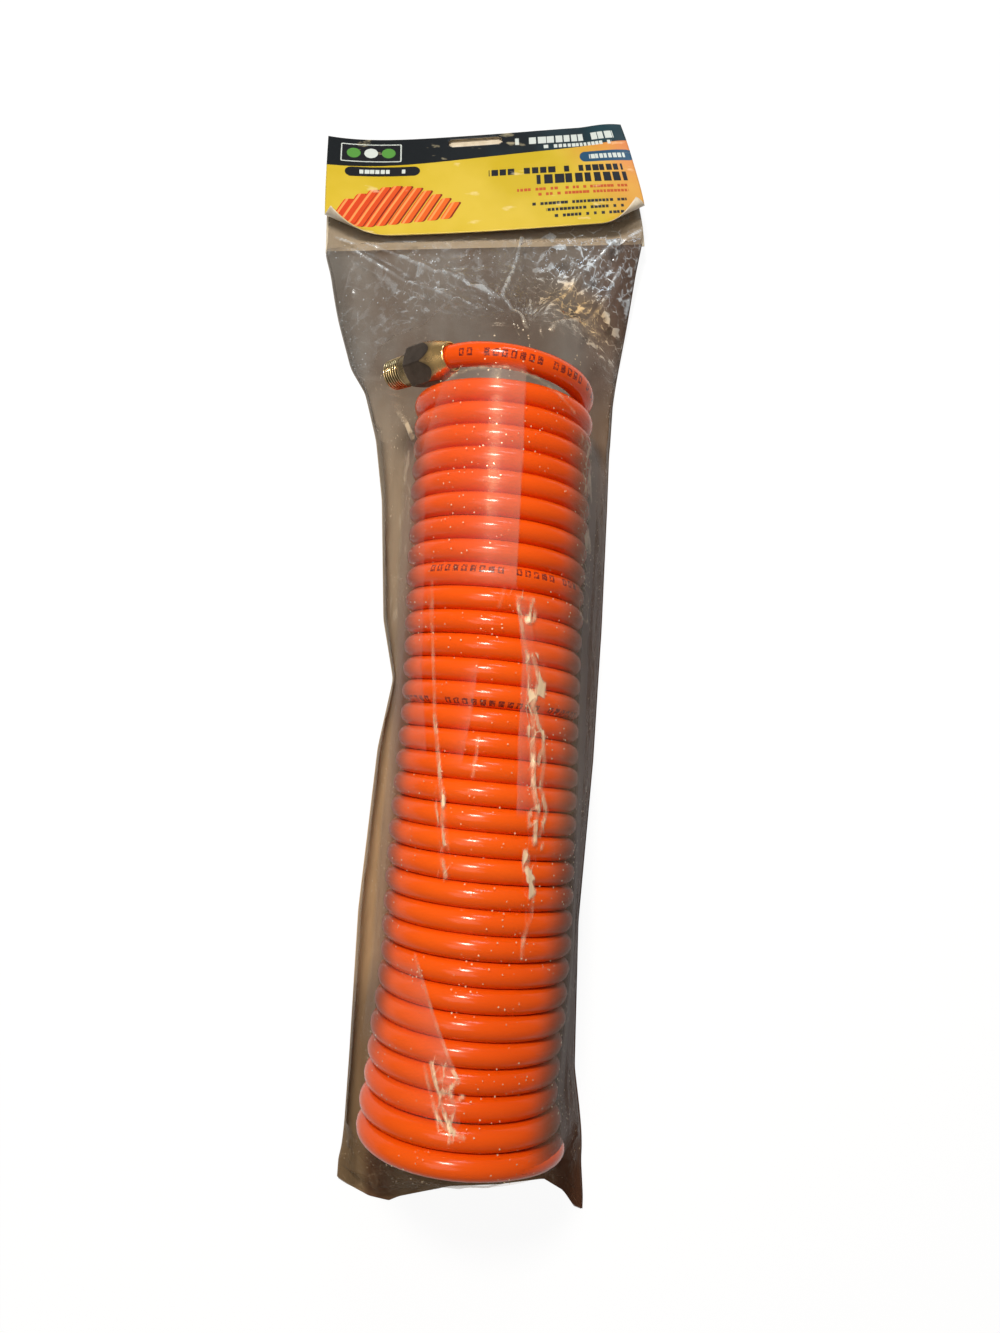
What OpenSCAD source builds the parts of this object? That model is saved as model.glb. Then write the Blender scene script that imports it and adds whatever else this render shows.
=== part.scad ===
// Coiled air hose in its retail pack.
// A close-wound recoil hose of polyurethane tube with a swivelling male pipe thread
// at each end, lying in a clear film bag whose mouth is held by a folded header card.
// The coil lies along Y. The origin is on the resting face, under the middle of the coil.

/* [Hose] */
// Outside diameter of the hose
hose_od = 10; // [9:0.25:11]
// Bore of the hose
hose_bore = 6.5; // [6:0.25:7.5]
// Diameter of the coil, from hose middle to hose middle
coil_mean_d = 70; // [66:1:80]
// Turns that lie close between the two loose end turns
stack_turns = 31; // [20:1:36]
// Free space between neighbouring turns
turn_gap = 0.05; // [0.05:0.05:0.5]
// How far round the coil, from its top, the far fitting starts
far_angle = 39; // [30:1:45]
// How much wider in radius the far end turn has sprung
far_swell = 1; // [0:0.5:2]
// How much wider in radius the near end turn has sprung
near_swell = 3; // [0:0.5:4]

/* [Fitting body] */
// Width across the flats of the hexagon
hex_af = 17; // [16:0.5:19]
// Length of the body, from its nose to its front face
body_l = 22; // [21:0.5:25]
// Half angle of the coned nose
nose_angle = 15.7; // [12:0.1:18]
// Wall left round the hose socket at the nose
nose_wall = 0.9; // [0.6:0.1:1.2]
// Rounding of the nose's rim
nose_round = 0.4; // [0.2:0.1:0.5]
// Width of the flat ring on the front face, inside the chamfer
front_flat_d = 15; // [14.6:0.1:15.6]
// Angle of the front chamfer to the front face
front_chamfer = 30; // [20:1:40]
// Length of hose held in the body
grip_l = 11; // [9:0.5:12]
// Thickness of the web between hose socket and swivel bore
web_t = 1.5; // [1:0.1:2]

/* [Fitting insides] */
// Wall of the grip sleeve round the hose
sleeve_t = 0.6; // [0.4:0.1:0.8]
// Width of the slot along the grip sleeve
sleeve_slot = 1; // [0.5:0.1:2]
// Bore of the barbed insert
insert_bore = 4.4; // [3.6:0.1:4.8]
// Height of the barbs on the insert
barb_h = 0.3; // [0.1:0.05:0.4]
// Length of one barb
barb_pitch = 2; // [1.5:0.1:2.5]
// Diameter of the insert's flange
insert_flange_d = 9.6; // [8.5:0.1:10.5]
// Thickness of the insert's flange
insert_flange_t = 0.8; // [0.6:0.1:1]
// Thickness of the seal ring
seal_d = 1.5; // [1.2:0.1:1.6]
// Thickness of the retaining ring, along the fitting
ring_w = 1.2; // [0.8:0.1:1.4]
// Depth that the retaining ring reaches into the body
ring_out = 0.7; // [0.5:0.1:0.9]
// Depth that the retaining ring reaches into the stem
ring_in = 0.6; // [0.4:0.1:0.8]

/* [Threaded stem] */
// Outside diameter of the pipe thread, halfway along its taper
thread_d = 13.6; // [13.2:0.1:13.9]
// Length of the threaded end
thread_l = 10.2; // [9:0.1:12]
// Chamfer at the tip of the thread
tip_chamfer = 1; // [0.6:0.1:1.4]
// Diameter of the plain neck
neck_d = 14; // [14:0.1:14.4]
// Length of the plain neck
neck_l = 4.3; // [3:0.1:6]
// Diameter of the journal that turns in the body
journal_d = 11; // [10.6:0.1:11.4]
// Diameter of the airway through the stem
air_bore = 5.6; // [4.8:0.1:6]

/* [Film bag] */
// Thickness of the film
film_t = 0.3; // [0.2:0.05:0.5]
// Width of the bag at the mouth
mouth_w = 157; // [150:1:158]
// Length of the bag past the coil's near face, to the bottom seal
tail_l = 45; // [42:1:60]
// Length of the bag's neck, from the coil's far face to the card
neck_room = 100; // [90:1:120]
// How far the bag reaches up into the card
mouth_tuck = 54; // [40:1:54]

/* [Header card] */
// Width of the card
card_w = 161; // [160:1:170]
// Height of the card's front panel, from lower edge to fold
card_h = 65; // [64:1:80]
// How far the back panel reaches below the front one
back_overhang = 5; // [0:0.5:10]
// Thickness of the card
card_t = 0.5; // [0.3:0.05:0.8]
// Angle that the card lies askew
card_turn = 4.5; // [0:0.5:6]
// Distance that the card lies to the left of the coil's axis
card_shift = 15; // [0:1:20]
// Height of the bag's mouth above the floor at the card's lower edge
card_rise = 12; // [8:0.5:20]
// Height of the bag's mouth above the floor at the fold
fold_rise = 3; // [2.5:0.5:8]
// Length of the hang slot
slot_w = 28; // [20:1:32]
// Height of the hang slot
slot_h = 6; // [5:0.5:8]
// Distance of the hang slot's middle from the fold
slot_inset = 6; // [5:0.5:6]

/* [Clearances] */
// Gap between soft pieces and what they lie against
soft_gap = 0.3; // [0.2:0.05:0.5]
// Radial gap of the pieces pushed together in the fittings
fit_gap = 0.05; // [0.02:0.01:0.08]
// Radial running gap of the swivel
run_gap = 0.05; // [0.02:0.01:0.1]
// End gap of the swivel and of the rings in their grooves
end_gap = 0.1; // [0.05:0.05:0.2]
// Free space between the far fitting and the turn beside it
fitting_gap = 0.5; // [0.3:0.1:1]

/* [Hidden] */
$fn = 96;
TUBE_SIDES = 12;
TUBE_STEP = 15;     // degrees of coil between the rings of a swept tube
DOME_STEP = 5;      // degrees between the points of a section of the film
HEX_CLOCK = -18;    // turns a corner of each hexagon upwards
FLOOR_LIFT = 2;     // height of the near fitting's hexagon above the film
SLEEVE_END = 1;     // the grip sleeve and the insert start this far inside the nose
COIL_FOOT = 180;    // the lowest place of a turn, in degrees round from its top
CORNER_ROOM = 0.2;  // the turned outline passes this far outside the corners of the hexagon
SEAL_LAND = 1.4;    // length of journal before the groove of the seal ring
NECK_LIP = 0.3;     // how far the edge of the neck stands out beside the body
LIP_L = 1;          // length over which that edge tapers to the neck
RUN_OUT = 0.4;      // length of the step from neck to thread
RING_ANGLE = 320;   // how far round the retaining ring reaches
BULGE_AT = 15;      // place along the far fitting where its hexagon lifts the film most
KNEE_ROOM = 2;      // free length of bag between the card and its bend
RISE_ROOM = 30;     // the bag lies flat this far past the coil, then climbs to the card
SLEW_ROOM = 20;     // the bag lies straight this far past the coil, then turns with the card

// hose and coil
hose_r = hose_od / 2;
coil_r = coil_mean_d / 2;
coil_out_r = coil_r + hose_r;
pitch = hose_od + turn_gap;
stack_l = (stack_turns - 1) * pitch + hose_od;
coil_z = film_t + soft_gap + coil_out_r;
far_face = stack_l / 2;
near_face = -stack_l / 2;
beside_face = hose_r + soft_gap;

// fitting body, measured from the nose along the fitting
hex_corner_r = hex_af / 2 / cos(30);
sleeve_in_r = hose_r + fit_gap;
sleeve_out_r = sleeve_in_r + sleeve_t;
socket_r = sleeve_out_r + fit_gap;
nose_r = socket_r + nose_wall;
turned_r = hex_corner_r + CORNER_ROOM;
cone_l = (turned_r - nose_r) / tan(nose_angle);
chamfer_l = (hex_corner_r - front_flat_d / 2) * tan(front_chamfer);
insert_r = hose_bore / 2 - fit_gap;
swivel_start = grip_l + web_t;
journal_r = journal_d / 2;
journal_start = swivel_start + insert_flange_t + end_gap;
swivel_r = journal_r + run_gap;
seal_start = journal_start + SEAL_LAND;
seal_groove_w = seal_d + 2 * end_gap;
seal_mid_r = swivel_r - run_gap / 2 - seal_d / 2;
ring_start = (seal_start + seal_groove_w + body_l - ring_w) / 2;
ring_out_r = swivel_r + ring_out;
ring_in_r = journal_r - ring_in;

// threaded stem
neck_start = body_l + end_gap;
thread_start = neck_start + neck_l;
stem_end = thread_start + thread_l;
thread_r = thread_d / 2;

// where the fittings lie
fitting_y = hex_corner_r + fitting_gap;
far_r = coil_r + far_swell;
far_z = coil_z + far_swell;
far_fit = [-far_r * sin(far_angle), far_face + fitting_y, far_z + far_r * cos(far_angle)];
near_r = coil_r + near_swell;
near_z = coil_z + near_swell;
near_fit_z = film_t + FLOOR_LIFT + hex_corner_r;
near_drop_r = near_z - near_fit_z;
near_fit = [near_r - near_drop_r, near_face - fitting_y, near_fit_z];
stem_tip = far_fit + stem_end * [-cos(far_angle), 0, -sin(far_angle)];

// film bag and card, along the pack
seal_y = near_face - tail_l;
card_y = far_face + neck_room;
mouth_y = card_y + mouth_tuck;
mouth_mid = -card_shift - mouth_tuck * tan(card_turn);
mouth_slope = (card_rise - fold_rise) / card_h;
knee_y = card_y - back_overhang - KNEE_ROOM;
mouth_t = 0.4;      // radius of the film's fold at its flat ends
fold_r = 1.5;       // radius of the film's side folds beside the coil
flat_t = film_t + 2 * mouth_t;
dome_gap = soft_gap + film_t;
dome_r = coil_out_r + dome_gap;
far_dome_r = far_r + hose_r + dome_gap;
near_dome_r = near_r + hose_r + dome_gap;

// Rows: place along the pack, left edge, right edge, radius of the side folds,
// radius of the dome, share of the bulge over the far fitting
STATIONS = [
    [seal_y,            -57,    54.5,  mouth_t, mouth_t,           0],
    [seal_y + 8,        -57,    54,    1,       7,                 0],
    [seal_y + 16,       -56.5,  53.5,  fold_r,  20,                0],
    [near_face - 20,    -56,    53,    fold_r,  33,                0],
    [near_face - 13,    -55.5,  52.5,  fold_r,  near_dome_r,       0],
    [near_face - 1,     -55.5,  51,    fold_r,  near_dome_r,       0],
    [near_face + 15,    -55.5,  48.5,  fold_r,  dome_r,            0],
    [near_face + 80,    -56,    47,    fold_r,  dome_r,            0],
    [0,                 -52.5,  50.5,  fold_r,  dome_r,            0],
    [33,                -47.5,  51.5,  fold_r,  dome_r,            0],
    [62,                -54,    52,    fold_r,  dome_r,            0],
    [far_face - 34,     -58.5,  52.5,  fold_r,  dome_r,            0],
    [far_face - 4,      -63.5,  52.5,  fold_r,  dome_r,            0.3],
    [far_face,          -64.5,  53,    fold_r,  far_dome_r,        1],
    [far_face + 21,     -71,    53.5,  fold_r,  far_dome_r,        1],
    [far_face + 34,     -79,    54.5,  fold_r,  dome_r * 0.83,     0.7],
    [far_face + 58,     -86,    58,    fold_r,  dome_r * 0.5,      0.2],
    [card_y - 18,       -91,    61.5,  1.2,     9,                 0],
    [knee_y,            -93.5,  63,    0.8,     4,                 0],
    [card_y,            -card_shift - mouth_w / 2, mouth_w / 2 - card_shift, mouth_t, mouth_t, 0],
    [mouth_y,           mouth_mid - mouth_w / 2,   mouth_mid + mouth_w / 2,  mouth_t, mouth_t, 0]
];
// How high the bag's underside lies, and how far its sections are askew
knee_z = card_rise + mouth_slope * (card_y - knee_y);
BASE = [[far_face + RISE_ROOM, 0], [knee_y, knee_z], [card_y + card_h, fold_rise]];
SLEW = [[far_face + SLEW_ROOM, 0], [knee_y, tan(card_turn)]];

// ---- hose ----

function unit(v) = v / norm(v);
function ring_points(middle, along, r) =
    let (side = unit(cross(along, [0, 1, 0])), up = cross(side, along))
    [for (i = [0 : TUBE_SIDES - 1])
        middle + r * (cos(360 * i / TUBE_SIDES) * side + sin(360 * i / TUBE_SIDES) * up)];

// A tube along a line of points, each with its own direction
module swept_tube(middles, alongs, r) {
    n = TUBE_SIDES;
    last = len(middles) - 1;
    points = [for (k = [0 : last]) each ring_points(middles[k], alongs[k], r)];
    sides = [for (k = [0 : last - 1], i = [0 : n - 1])
        let (a = k * n + i, b = k * n + (i + 1) % n)
        each [[a, b, b + n], [a, b + n, a + n]]];
    start_cap = [[for (i = [n - 1 : -1 : 0]) i]];
    end_cap = [[for (i = [0 : n - 1]) last * n + i]];
    polyhedron(points, concat(start_cap, sides, end_cap));
}

// A point on a circle round the Y direction, and the way forward there, turning from up to right
function on_circle(x, y, z, r, angle) = [x + r * sin(angle), y, z + r * cos(angle)];
function forward(angle) = [cos(angle), 0, -sin(angle)];

// The close-wound turns, as rings side by side on a thin core
module hose_coil() {
    color("orangered") translate([0, near_face, coil_z]) rotate([-90, 0, 0]) rotate_extrude() {
        for (i = [0 : stack_turns - 1])
            translate([coil_r, hose_r + i * pitch]) circle(hose_r);
        translate([coil_r - hose_r / 2, hose_r]) square([hose_r, stack_l - hose_od]);
    }
}

// The far end turn leaves the coil below, passes over its top and enters the far fitting
module far_tail() {
    turns = concat([for (a = [COIL_FOOT : -TUBE_STEP : -far_angle + TUBE_STEP / 2]) a], [-far_angle]);
    rise = fitting_y - beside_face;
    middles = [for (a = turns)
        let (back = (COIL_FOOT - a) / (COIL_FOOT + far_angle))
        on_circle(0, far_face + beside_face + rise * pow(back, 2), far_z, far_r, a)];
    color("orangered") swept_tube(middles, [for (a = turns) -forward(a)], hose_r);
}

// The near end turn passes over the top and drops on a smaller circle to the near fitting
module near_tail() {
    rise = fitting_y - beside_face;
    function out(a) = near_face - beside_face - rise * pow((a + 90) / (COIL_FOOT + 90), 2);
    over = [for (a = [-90 : TUBE_STEP : 90]) a];
    drop = [for (a = [90 + TUBE_STEP : TUBE_STEP : COIL_FOOT]) a];
    middles = concat(
        [for (a = over) on_circle(0, out(a), near_z, near_r, a)],
        [for (a = drop) on_circle(near_r - near_drop_r, out(a), near_z, near_drop_r, a)]);
    color("orangered") swept_tube(middles, [for (a = concat(over, drop)) forward(a)], hose_r);
}

// The last stretch of hose, held inside a fitting
module hose_end() {
    color("orangered") difference() {
        cylinder(r = hose_r, h = grip_l - end_gap);
        translate([0, 0, -1]) cylinder(d = hose_bore, h = grip_l + 2);
    }
}

// ---- fittings, each built along Z from its nose ----

// Hexagon with a coned nose and a chamfered front face
module hex_body() {
    color("darkgoldenrod") difference() {
        intersection() {
            rotate(HEX_CLOCK) cylinder(r = hex_corner_r, h = body_l, $fn = 6);
            rotate_extrude() polygon([[0, 0], [nose_r - nose_round, 0], [nose_r, nose_round],
                [turned_r, cone_l], [turned_r, body_l - chamfer_l], [front_flat_d / 2, body_l], [0, body_l]]);
        }
        translate([0, 0, -1]) cylinder(r = socket_r, h = grip_l + 1);
        translate([0, 0, grip_l - 1]) cylinder(r = insert_r + fit_gap, h = web_t + 2);
        translate([0, 0, swivel_start]) cylinder(r = swivel_r, h = body_l);
        translate([0, 0, ring_start - end_gap]) cylinder(r = ring_out_r + fit_gap, h = ring_w + 2 * end_gap);
    }
}

// Tube that the hose is pushed over, with saw-tooth barbs and a flange on the web
module barbed_insert() {
    barbs = floor((grip_l - 2 * SLEEVE_END) / barb_pitch);
    teeth = [for (i = [0 : barbs - 1]) let (z = SLEEVE_END + i * barb_pitch)
        each [[insert_r - barb_h, z], [insert_r, z + barb_pitch]]];
    color("goldenrod") rotate_extrude() polygon(concat(
        [[insert_bore / 2, SLEEVE_END]], teeth,
        [[insert_r, swivel_start], [insert_flange_d / 2, swivel_start],
            [insert_flange_d / 2, swivel_start + insert_flange_t],
            [insert_bore / 2, swivel_start + insert_flange_t]]));
}

// Slotted sleeve between hose and body
module grip_sleeve() {
    color("gold") difference() {
        translate([0, 0, SLEEVE_END]) cylinder(r = sleeve_out_r, h = grip_l - SLEEVE_END - end_gap);
        cylinder(r = sleeve_in_r, h = grip_l);
        translate([0, -sleeve_slot / 2, 0]) cube([sleeve_out_r + 1, sleeve_slot, grip_l]);
    }
}

// Open ring that snaps into the body and keeps the stem in
module retaining_ring() {
    color("silver") translate([0, 0, ring_start]) rotate_extrude(angle = RING_ANGLE)
        translate([ring_in_r, 0]) square([ring_out_r - ring_in_r, ring_w]);
}

// Male pipe thread, neck and grooved journal, with the airway through them
module threaded_stem() {
    color("darkkhaki") rotate_extrude() polygon([
        [air_bore / 2, journal_start], [journal_r, journal_start],
        [journal_r, seal_start], [seal_mid_r - seal_d / 2, seal_start],
        [seal_mid_r - seal_d / 2, seal_start + seal_groove_w], [journal_r, seal_start + seal_groove_w],
        [journal_r, ring_start - end_gap], [ring_in_r - end_gap, ring_start - end_gap],
        [ring_in_r - end_gap, ring_start + ring_w + end_gap], [journal_r, ring_start + ring_w + end_gap],
        [journal_r, neck_start], [neck_d / 2 + NECK_LIP, neck_start],
        [neck_d / 2, neck_start + LIP_L], [neck_d / 2, thread_start - RUN_OUT], [thread_r, thread_start],
        [thread_r, stem_end - tip_chamfer], [thread_r - tip_chamfer, stem_end],
        [air_bore / 2, stem_end]]);
}

// Round seal ring in the journal's groove
module seal_ring() {
    color("dimgray") translate([0, 0, seal_start + seal_groove_w / 2]) rotate_extrude()
        translate([seal_mid_r, 0]) circle(d = seal_d, $fn = 32);
}

module at_far() translate(far_fit) rotate([0, -90 - far_angle, 0]) children();
module at_near() translate(near_fit) rotate([0, -90, 0]) children();

// ---- film bag ----

// A size of the bag's section, at a place along the pack
function bag(y, column) = lookup(y, [for (s = STATIONS) [s[0], s[column]]]);
function middle(y) = (bag(y, 1) + bag(y, 2)) / 2;
function along_row(y, x) = y + lookup(y, SLEW) * (x - middle(y));
// The circles that the film is stretched over: two side folds, the dome and the far fitting
function formers(y) =
    let (low = lookup(y, BASE) + film_t, fold = bag(y, 3), dome = bag(y, 4), bulge = bag(y, 5),
        dome_x = lookup(y, [[far_face + 34, 0], [card_y - 18, middle(card_y - 18)], [mouth_y, mouth_mid]]),
        top = [dome_x, low + dome], body = far_fit + BULGE_AT * [-cos(far_angle), 0, -sin(far_angle)])
    [[bag(y, 1) + fold, low + fold, fold],
     [bag(y, 2) - fold, low + fold, fold],
     [top[0], top[1], dome],
     toward(top, [body[0], body[2]], bulge, hex_corner_r),
     toward(top, [stem_tip[0], stem_tip[2]], bulge, thread_r)];
function toward(from, to, share, r) =
    let (p = from + share * (to - from)) [p[0], p[1], share * (r + dome_gap) + mouth_t];
// The point where a section's outside, or its inside, faces a direction
function reach(f, angle) = f[0] * cos(angle) + f[1] * sin(angle) + f[2];
function outermost(all, angle) =
    let (far = max([for (f = all) reach(f, angle)]))
    [for (f = all) if (reach(f, angle) > far - 0.0001) f][0];
function film_point(y, angle, inset) =
    let (f = outermost(formers(y), angle), x = f[0] + (f[2] - inset) * cos(angle))
    [x, along_row(y, x), f[1] + (f[2] - inset) * sin(angle)];

// The film over the hose, from one side fold to the other
module bag_front_film() {
    ys = [for (s = STATIONS) s[0]];
    angles = [for (a = [-80 : DOME_STEP : 260]) a];
    rows = len(ys);
    cols = len(angles);
    skin = rows * cols;
    points = [for (inset = [0, film_t * 0.9]) each [for (y = ys) each [for (a = angles) film_point(y, a, inset)]]];
    function at(side, row, col) = side * skin + row * cols + col;
    outside = [for (i = [0 : rows - 2], j = [0 : cols - 2])
        each [[at(0, i, j), at(0, i + 1, j), at(0, i + 1, j + 1)],
            [at(0, i, j), at(0, i + 1, j + 1), at(0, i, j + 1)]]];
    inside = [for (i = [0 : rows - 2], j = [0 : cols - 2])
        each [[at(1, i, j), at(1, i + 1, j + 1), at(1, i + 1, j)],
            [at(1, i, j), at(1, i, j + 1), at(1, i + 1, j + 1)]]];
    edges = [for (i = [0 : rows - 2])
        each [[at(0, i, 0), at(1, i, 0), at(1, i + 1, 0)], [at(0, i, 0), at(1, i + 1, 0), at(0, i + 1, 0)],
            [at(0, i, cols - 1), at(1, i + 1, cols - 1), at(1, i, cols - 1)],
            [at(0, i, cols - 1), at(0, i + 1, cols - 1), at(1, i + 1, cols - 1)]]];
    ends = [for (j = [0 : cols - 2])
        each [[at(0, 0, j), at(1, 0, j + 1), at(1, 0, j)], [at(0, 0, j), at(0, 0, j + 1), at(1, 0, j + 1)],
            [at(0, rows - 1, j), at(1, rows - 1, j), at(1, rows - 1, j + 1)],
            [at(0, rows - 1, j), at(1, rows - 1, j + 1), at(0, rows - 1, j + 1)]]];
    color("lightcyan", 0.3) polyhedron(points, concat(outside, inside, edges, ends));
}

// The film under the hose, flat to the neck and then lifted to the card
module bag_back_film() {
    ys = [for (s = STATIONS) s[0]];
    last = len(ys) - 1;
    points = [for (y = ys) each
        [for (side = [1, 2], top = [0, 1])
            [bag(y, side), along_row(y, bag(y, side)), lookup(y, BASE) + top * film_t]]];
    // corners of a section: 0 left low, 1 left high, 2 right low, 3 right high
    faces = [for (k = [0 : last - 1]) let (a = 4 * k, b = a + 4)
        each [[a + 1, b + 1, b + 3], [a + 1, b + 3, a + 3], [a, b + 2, b], [a, a + 2, b + 2],
            [a, b, b + 1], [a, b + 1, a + 1], [a + 2, b + 3, b + 2], [a + 2, a + 3, b + 3]]];
    z = 4 * last;
    caps = [[0, 1, 3], [0, 3, 2], [z, z + 3, z + 1], [z, z + 2, z + 3]];
    color("azure", 0.3) polyhedron(points, concat(faces, caps));
}

// ---- header card ----

// One sheet of card, folded over the bag's mouth, with a hang slot through both panels
module header_card() {
    fold_in_r = flat_t / 2 + soft_gap;
    fold_out_r = fold_in_r + card_t;
    tilt = atan(mouth_slope);
    // the card's section, along its own slope, with the bag's flat middle at height 0
    arc_in = [for (a = [90 : -15 : -90]) [card_h + fold_in_r * cos(a), fold_in_r * sin(a)]];
    arc_out = [for (a = [-90 : 15 : 90]) [card_h + fold_out_r * cos(a), fold_out_r * sin(a)]];
    section = concat([[0, fold_in_r]], arc_in, [[-back_overhang, -fold_in_r], [-back_overhang, -fold_out_r]],
        arc_out, [[0, fold_out_r]]);
    color("gold") translate([-card_shift, card_y, card_rise + flat_t / 2])
        rotate([0, 0, card_turn]) rotate([-tilt, 0, 0])
        difference() {
            rotate([90, 0, 90]) linear_extrude(card_w, center = true) polygon(section);
            translate([0, card_h - slot_inset, 0]) hang_slot();
        }
}

// Slot with round ends, through both panels
module hang_slot() {
    reach = (slot_w - slot_h) / 2;
    translate([-reach, -slot_h / 2, -5]) cube([2 * reach, slot_h, 10]);
    for (side = [-1, 1]) translate([side * reach, 0, -5]) cylinder(d = slot_h, h = 10);
}

hose_coil();
far_tail();
at_far() hose_end();  // far_hose_end
near_tail();
at_near() hose_end();  // near_hose_end
at_far() hex_body();  // far_hex_body
at_far() barbed_insert();  // far_barbed_insert
at_far() grip_sleeve();  // far_grip_sleeve
at_far() retaining_ring();  // far_retaining_ring
at_far() threaded_stem();  // far_threaded_stem
at_far() seal_ring();  // far_seal_ring
at_near() hex_body();  // near_hex_body
at_near() barbed_insert();  // near_barbed_insert
at_near() grip_sleeve();  // near_grip_sleeve
at_near() retaining_ring();  // near_retaining_ring
at_near() threaded_stem();  // near_threaded_stem
at_near() seal_ring();  // near_seal_ring
bag_front_film();
bag_back_film();
header_card();
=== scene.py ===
"""The coiled air hose in its pack, dressed for rendering. Sizes in the functions are in mm."""

import math

import bpy
import numpy as np
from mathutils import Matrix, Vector


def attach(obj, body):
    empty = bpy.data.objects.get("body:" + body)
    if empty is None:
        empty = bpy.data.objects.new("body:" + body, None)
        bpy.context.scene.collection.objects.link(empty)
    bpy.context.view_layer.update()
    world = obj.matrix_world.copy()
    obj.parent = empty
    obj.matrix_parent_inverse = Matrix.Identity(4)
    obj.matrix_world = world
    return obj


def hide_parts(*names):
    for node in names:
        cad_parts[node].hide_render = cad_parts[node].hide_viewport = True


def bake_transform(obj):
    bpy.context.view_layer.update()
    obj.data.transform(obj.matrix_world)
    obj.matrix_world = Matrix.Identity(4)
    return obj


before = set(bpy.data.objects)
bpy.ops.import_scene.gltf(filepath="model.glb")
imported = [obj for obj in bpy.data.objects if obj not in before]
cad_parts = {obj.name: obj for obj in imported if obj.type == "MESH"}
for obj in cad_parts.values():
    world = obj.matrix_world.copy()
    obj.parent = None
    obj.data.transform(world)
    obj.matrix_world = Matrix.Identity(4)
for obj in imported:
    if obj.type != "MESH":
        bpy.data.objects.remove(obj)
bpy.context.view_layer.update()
MM, QUICK = 0.001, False
scene = bpy.context.scene


def new_object(name, data):
    made = bpy.data.objects.new(name, data)
    scene.collection.objects.link(made)
    return made


# ---- camera, fitted to the photo in pixels and mm
LENS_PX, TALL_PX, SENSOR = 1001.0, 1333.0, 36.0
CAM_AT, CAM_TILT, CAM_TURN = (8.4, -25.8, 478.8), math.radians(8.07), math.radians(3.12)

camera = new_object("camera", bpy.data.cameras.new("camera"))
camera.location = Vector(CAM_AT) * MM
camera.rotation_euler = (CAM_TILT, 0, CAM_TURN)
camera.data.sensor_width = SENSOR
camera.data.lens = LENS_PX / TALL_PX * SENSOR
camera.data.clip_start, camera.data.clip_end = 0.01, 20.0
scene.camera = camera

# ---- helpers


def smooth(t):
    t = np.clip(t, 0, 1)
    return t * t * (3 - 2 * t)


def rise(value, start, length):
    """Eases from 0 at start to 1 a length further on, which may be negative."""
    return smooth((value - start) / length)


def unit(v):
    return v / np.maximum(np.linalg.norm(v, axis=-1, keepdims=True), 1e-9)


def stacked(*parts):
    """Points made of their parts."""
    return np.stack(np.broadcast_arrays(*parts), -1)


def noise(x, y, seed):
    """Smooth random field of two coordinates, from 0 to 1."""
    size = 64
    table = np.random.default_rng(seed).random((size, size))
    xi, yi = np.floor(x).astype(int), np.floor(y).astype(int)
    fx, fy = smooth(x - xi), smooth(y - yi)
    x0, x1, y0, y1 = xi % size, (xi + 1) % size, yi % size, (yi + 1) % size
    low = table[x0, y0] * (1 - fx) + table[x1, y0] * fx
    high = table[x0, y1] * (1 - fx) + table[x1, y1] * fx
    return low * (1 - fy) + high * fy


def mesh_object(name, points, faces):
    data = bpy.data.meshes.new(name)
    data.from_pydata(np.asarray(points).tolist(), [], np.asarray(faces).tolist())
    data.validate()
    data.polygons.foreach_set("use_smooth", [True] * len(data.polygons))
    return new_object(name, data)


def grid_faces(rows, cols, wrap=False, flip=False):
    """Quads over a grid of points; wrap joins the last column to the first."""
    i, j = np.meshgrid(np.arange(rows - 1), np.arange(cols if wrap else cols - 1), indexing="ij")
    k = (j + 1) % cols
    here, below = i * cols, (i + 1) * cols
    quads = stacked(here + j, here + k, below + k, below + j).reshape(-1, 4)
    return quads[:, ::-1] if flip else quads


def grid_object(name, points, wrap=False, flip=False, uv=None):
    rows, cols = points.shape[:2]
    obj = mesh_object(name, points.reshape(-1, 3) * MM, grid_faces(rows, cols, wrap, flip))
    if uv is not None:
        add_uv(obj, uv, cols if wrap else 0)
    return obj


def add_uv(obj, uv, wrap_cols=0):
    """Gives each corner its point's uv; v goes on past 1 over a wrapped grid's seam."""
    data = obj.data
    index = np.zeros(len(data.loops), int)
    data.loops.foreach_get("vertex_index", index)
    values = uv.reshape(-1, 2)[index]
    if wrap_cols:
        corner = (index % wrap_cols).reshape(-1, 4)
        seam = (corner.max(1) - corner.min(1)) > 1
        low = (corner == 0) & seam[:, None]
        values.reshape(-1, 4, 2)[low] += (0, 1)
    layer = data.uv_layers.new(name="UVMap")
    layer.data.foreach_set("uv", values.astype(np.float32).ravel())


def add_attribute(obj, name, values):
    layer = obj.data.attributes.new(name, "FLOAT", "POINT")
    layer.data.foreach_set("value", np.ascontiguousarray(values, np.float32).ravel())


# ---- header card's place
CARD_Y, CARD_W, CARD_H, OVERHANG = 255.75, 161.0, 65.0, 5.0
CARD_X, CARD_RISE, FOLD_RISE, FLAT_T = -15.0, 12.0, 3.0, 1.1
CARD_TURN = math.radians(4.5)

# ---- materials
WHITE = (1, 1, 1, 1)


class Value:
    """A node's output, which can be used in sums."""

    def __init__(self, nodes, socket):
        self.nodes, self.socket = nodes, socket


SUMS = {"add": "ADD", "sub": "SUBTRACT", "mul": "MULTIPLY", "gt": "GREATER_THAN", "lt": "LESS_THAN"}
for name, how in SUMS.items():
    setattr(Value, f"__{name}__", lambda a, b, how=how: a.nodes.math(how, a, b))


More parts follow.
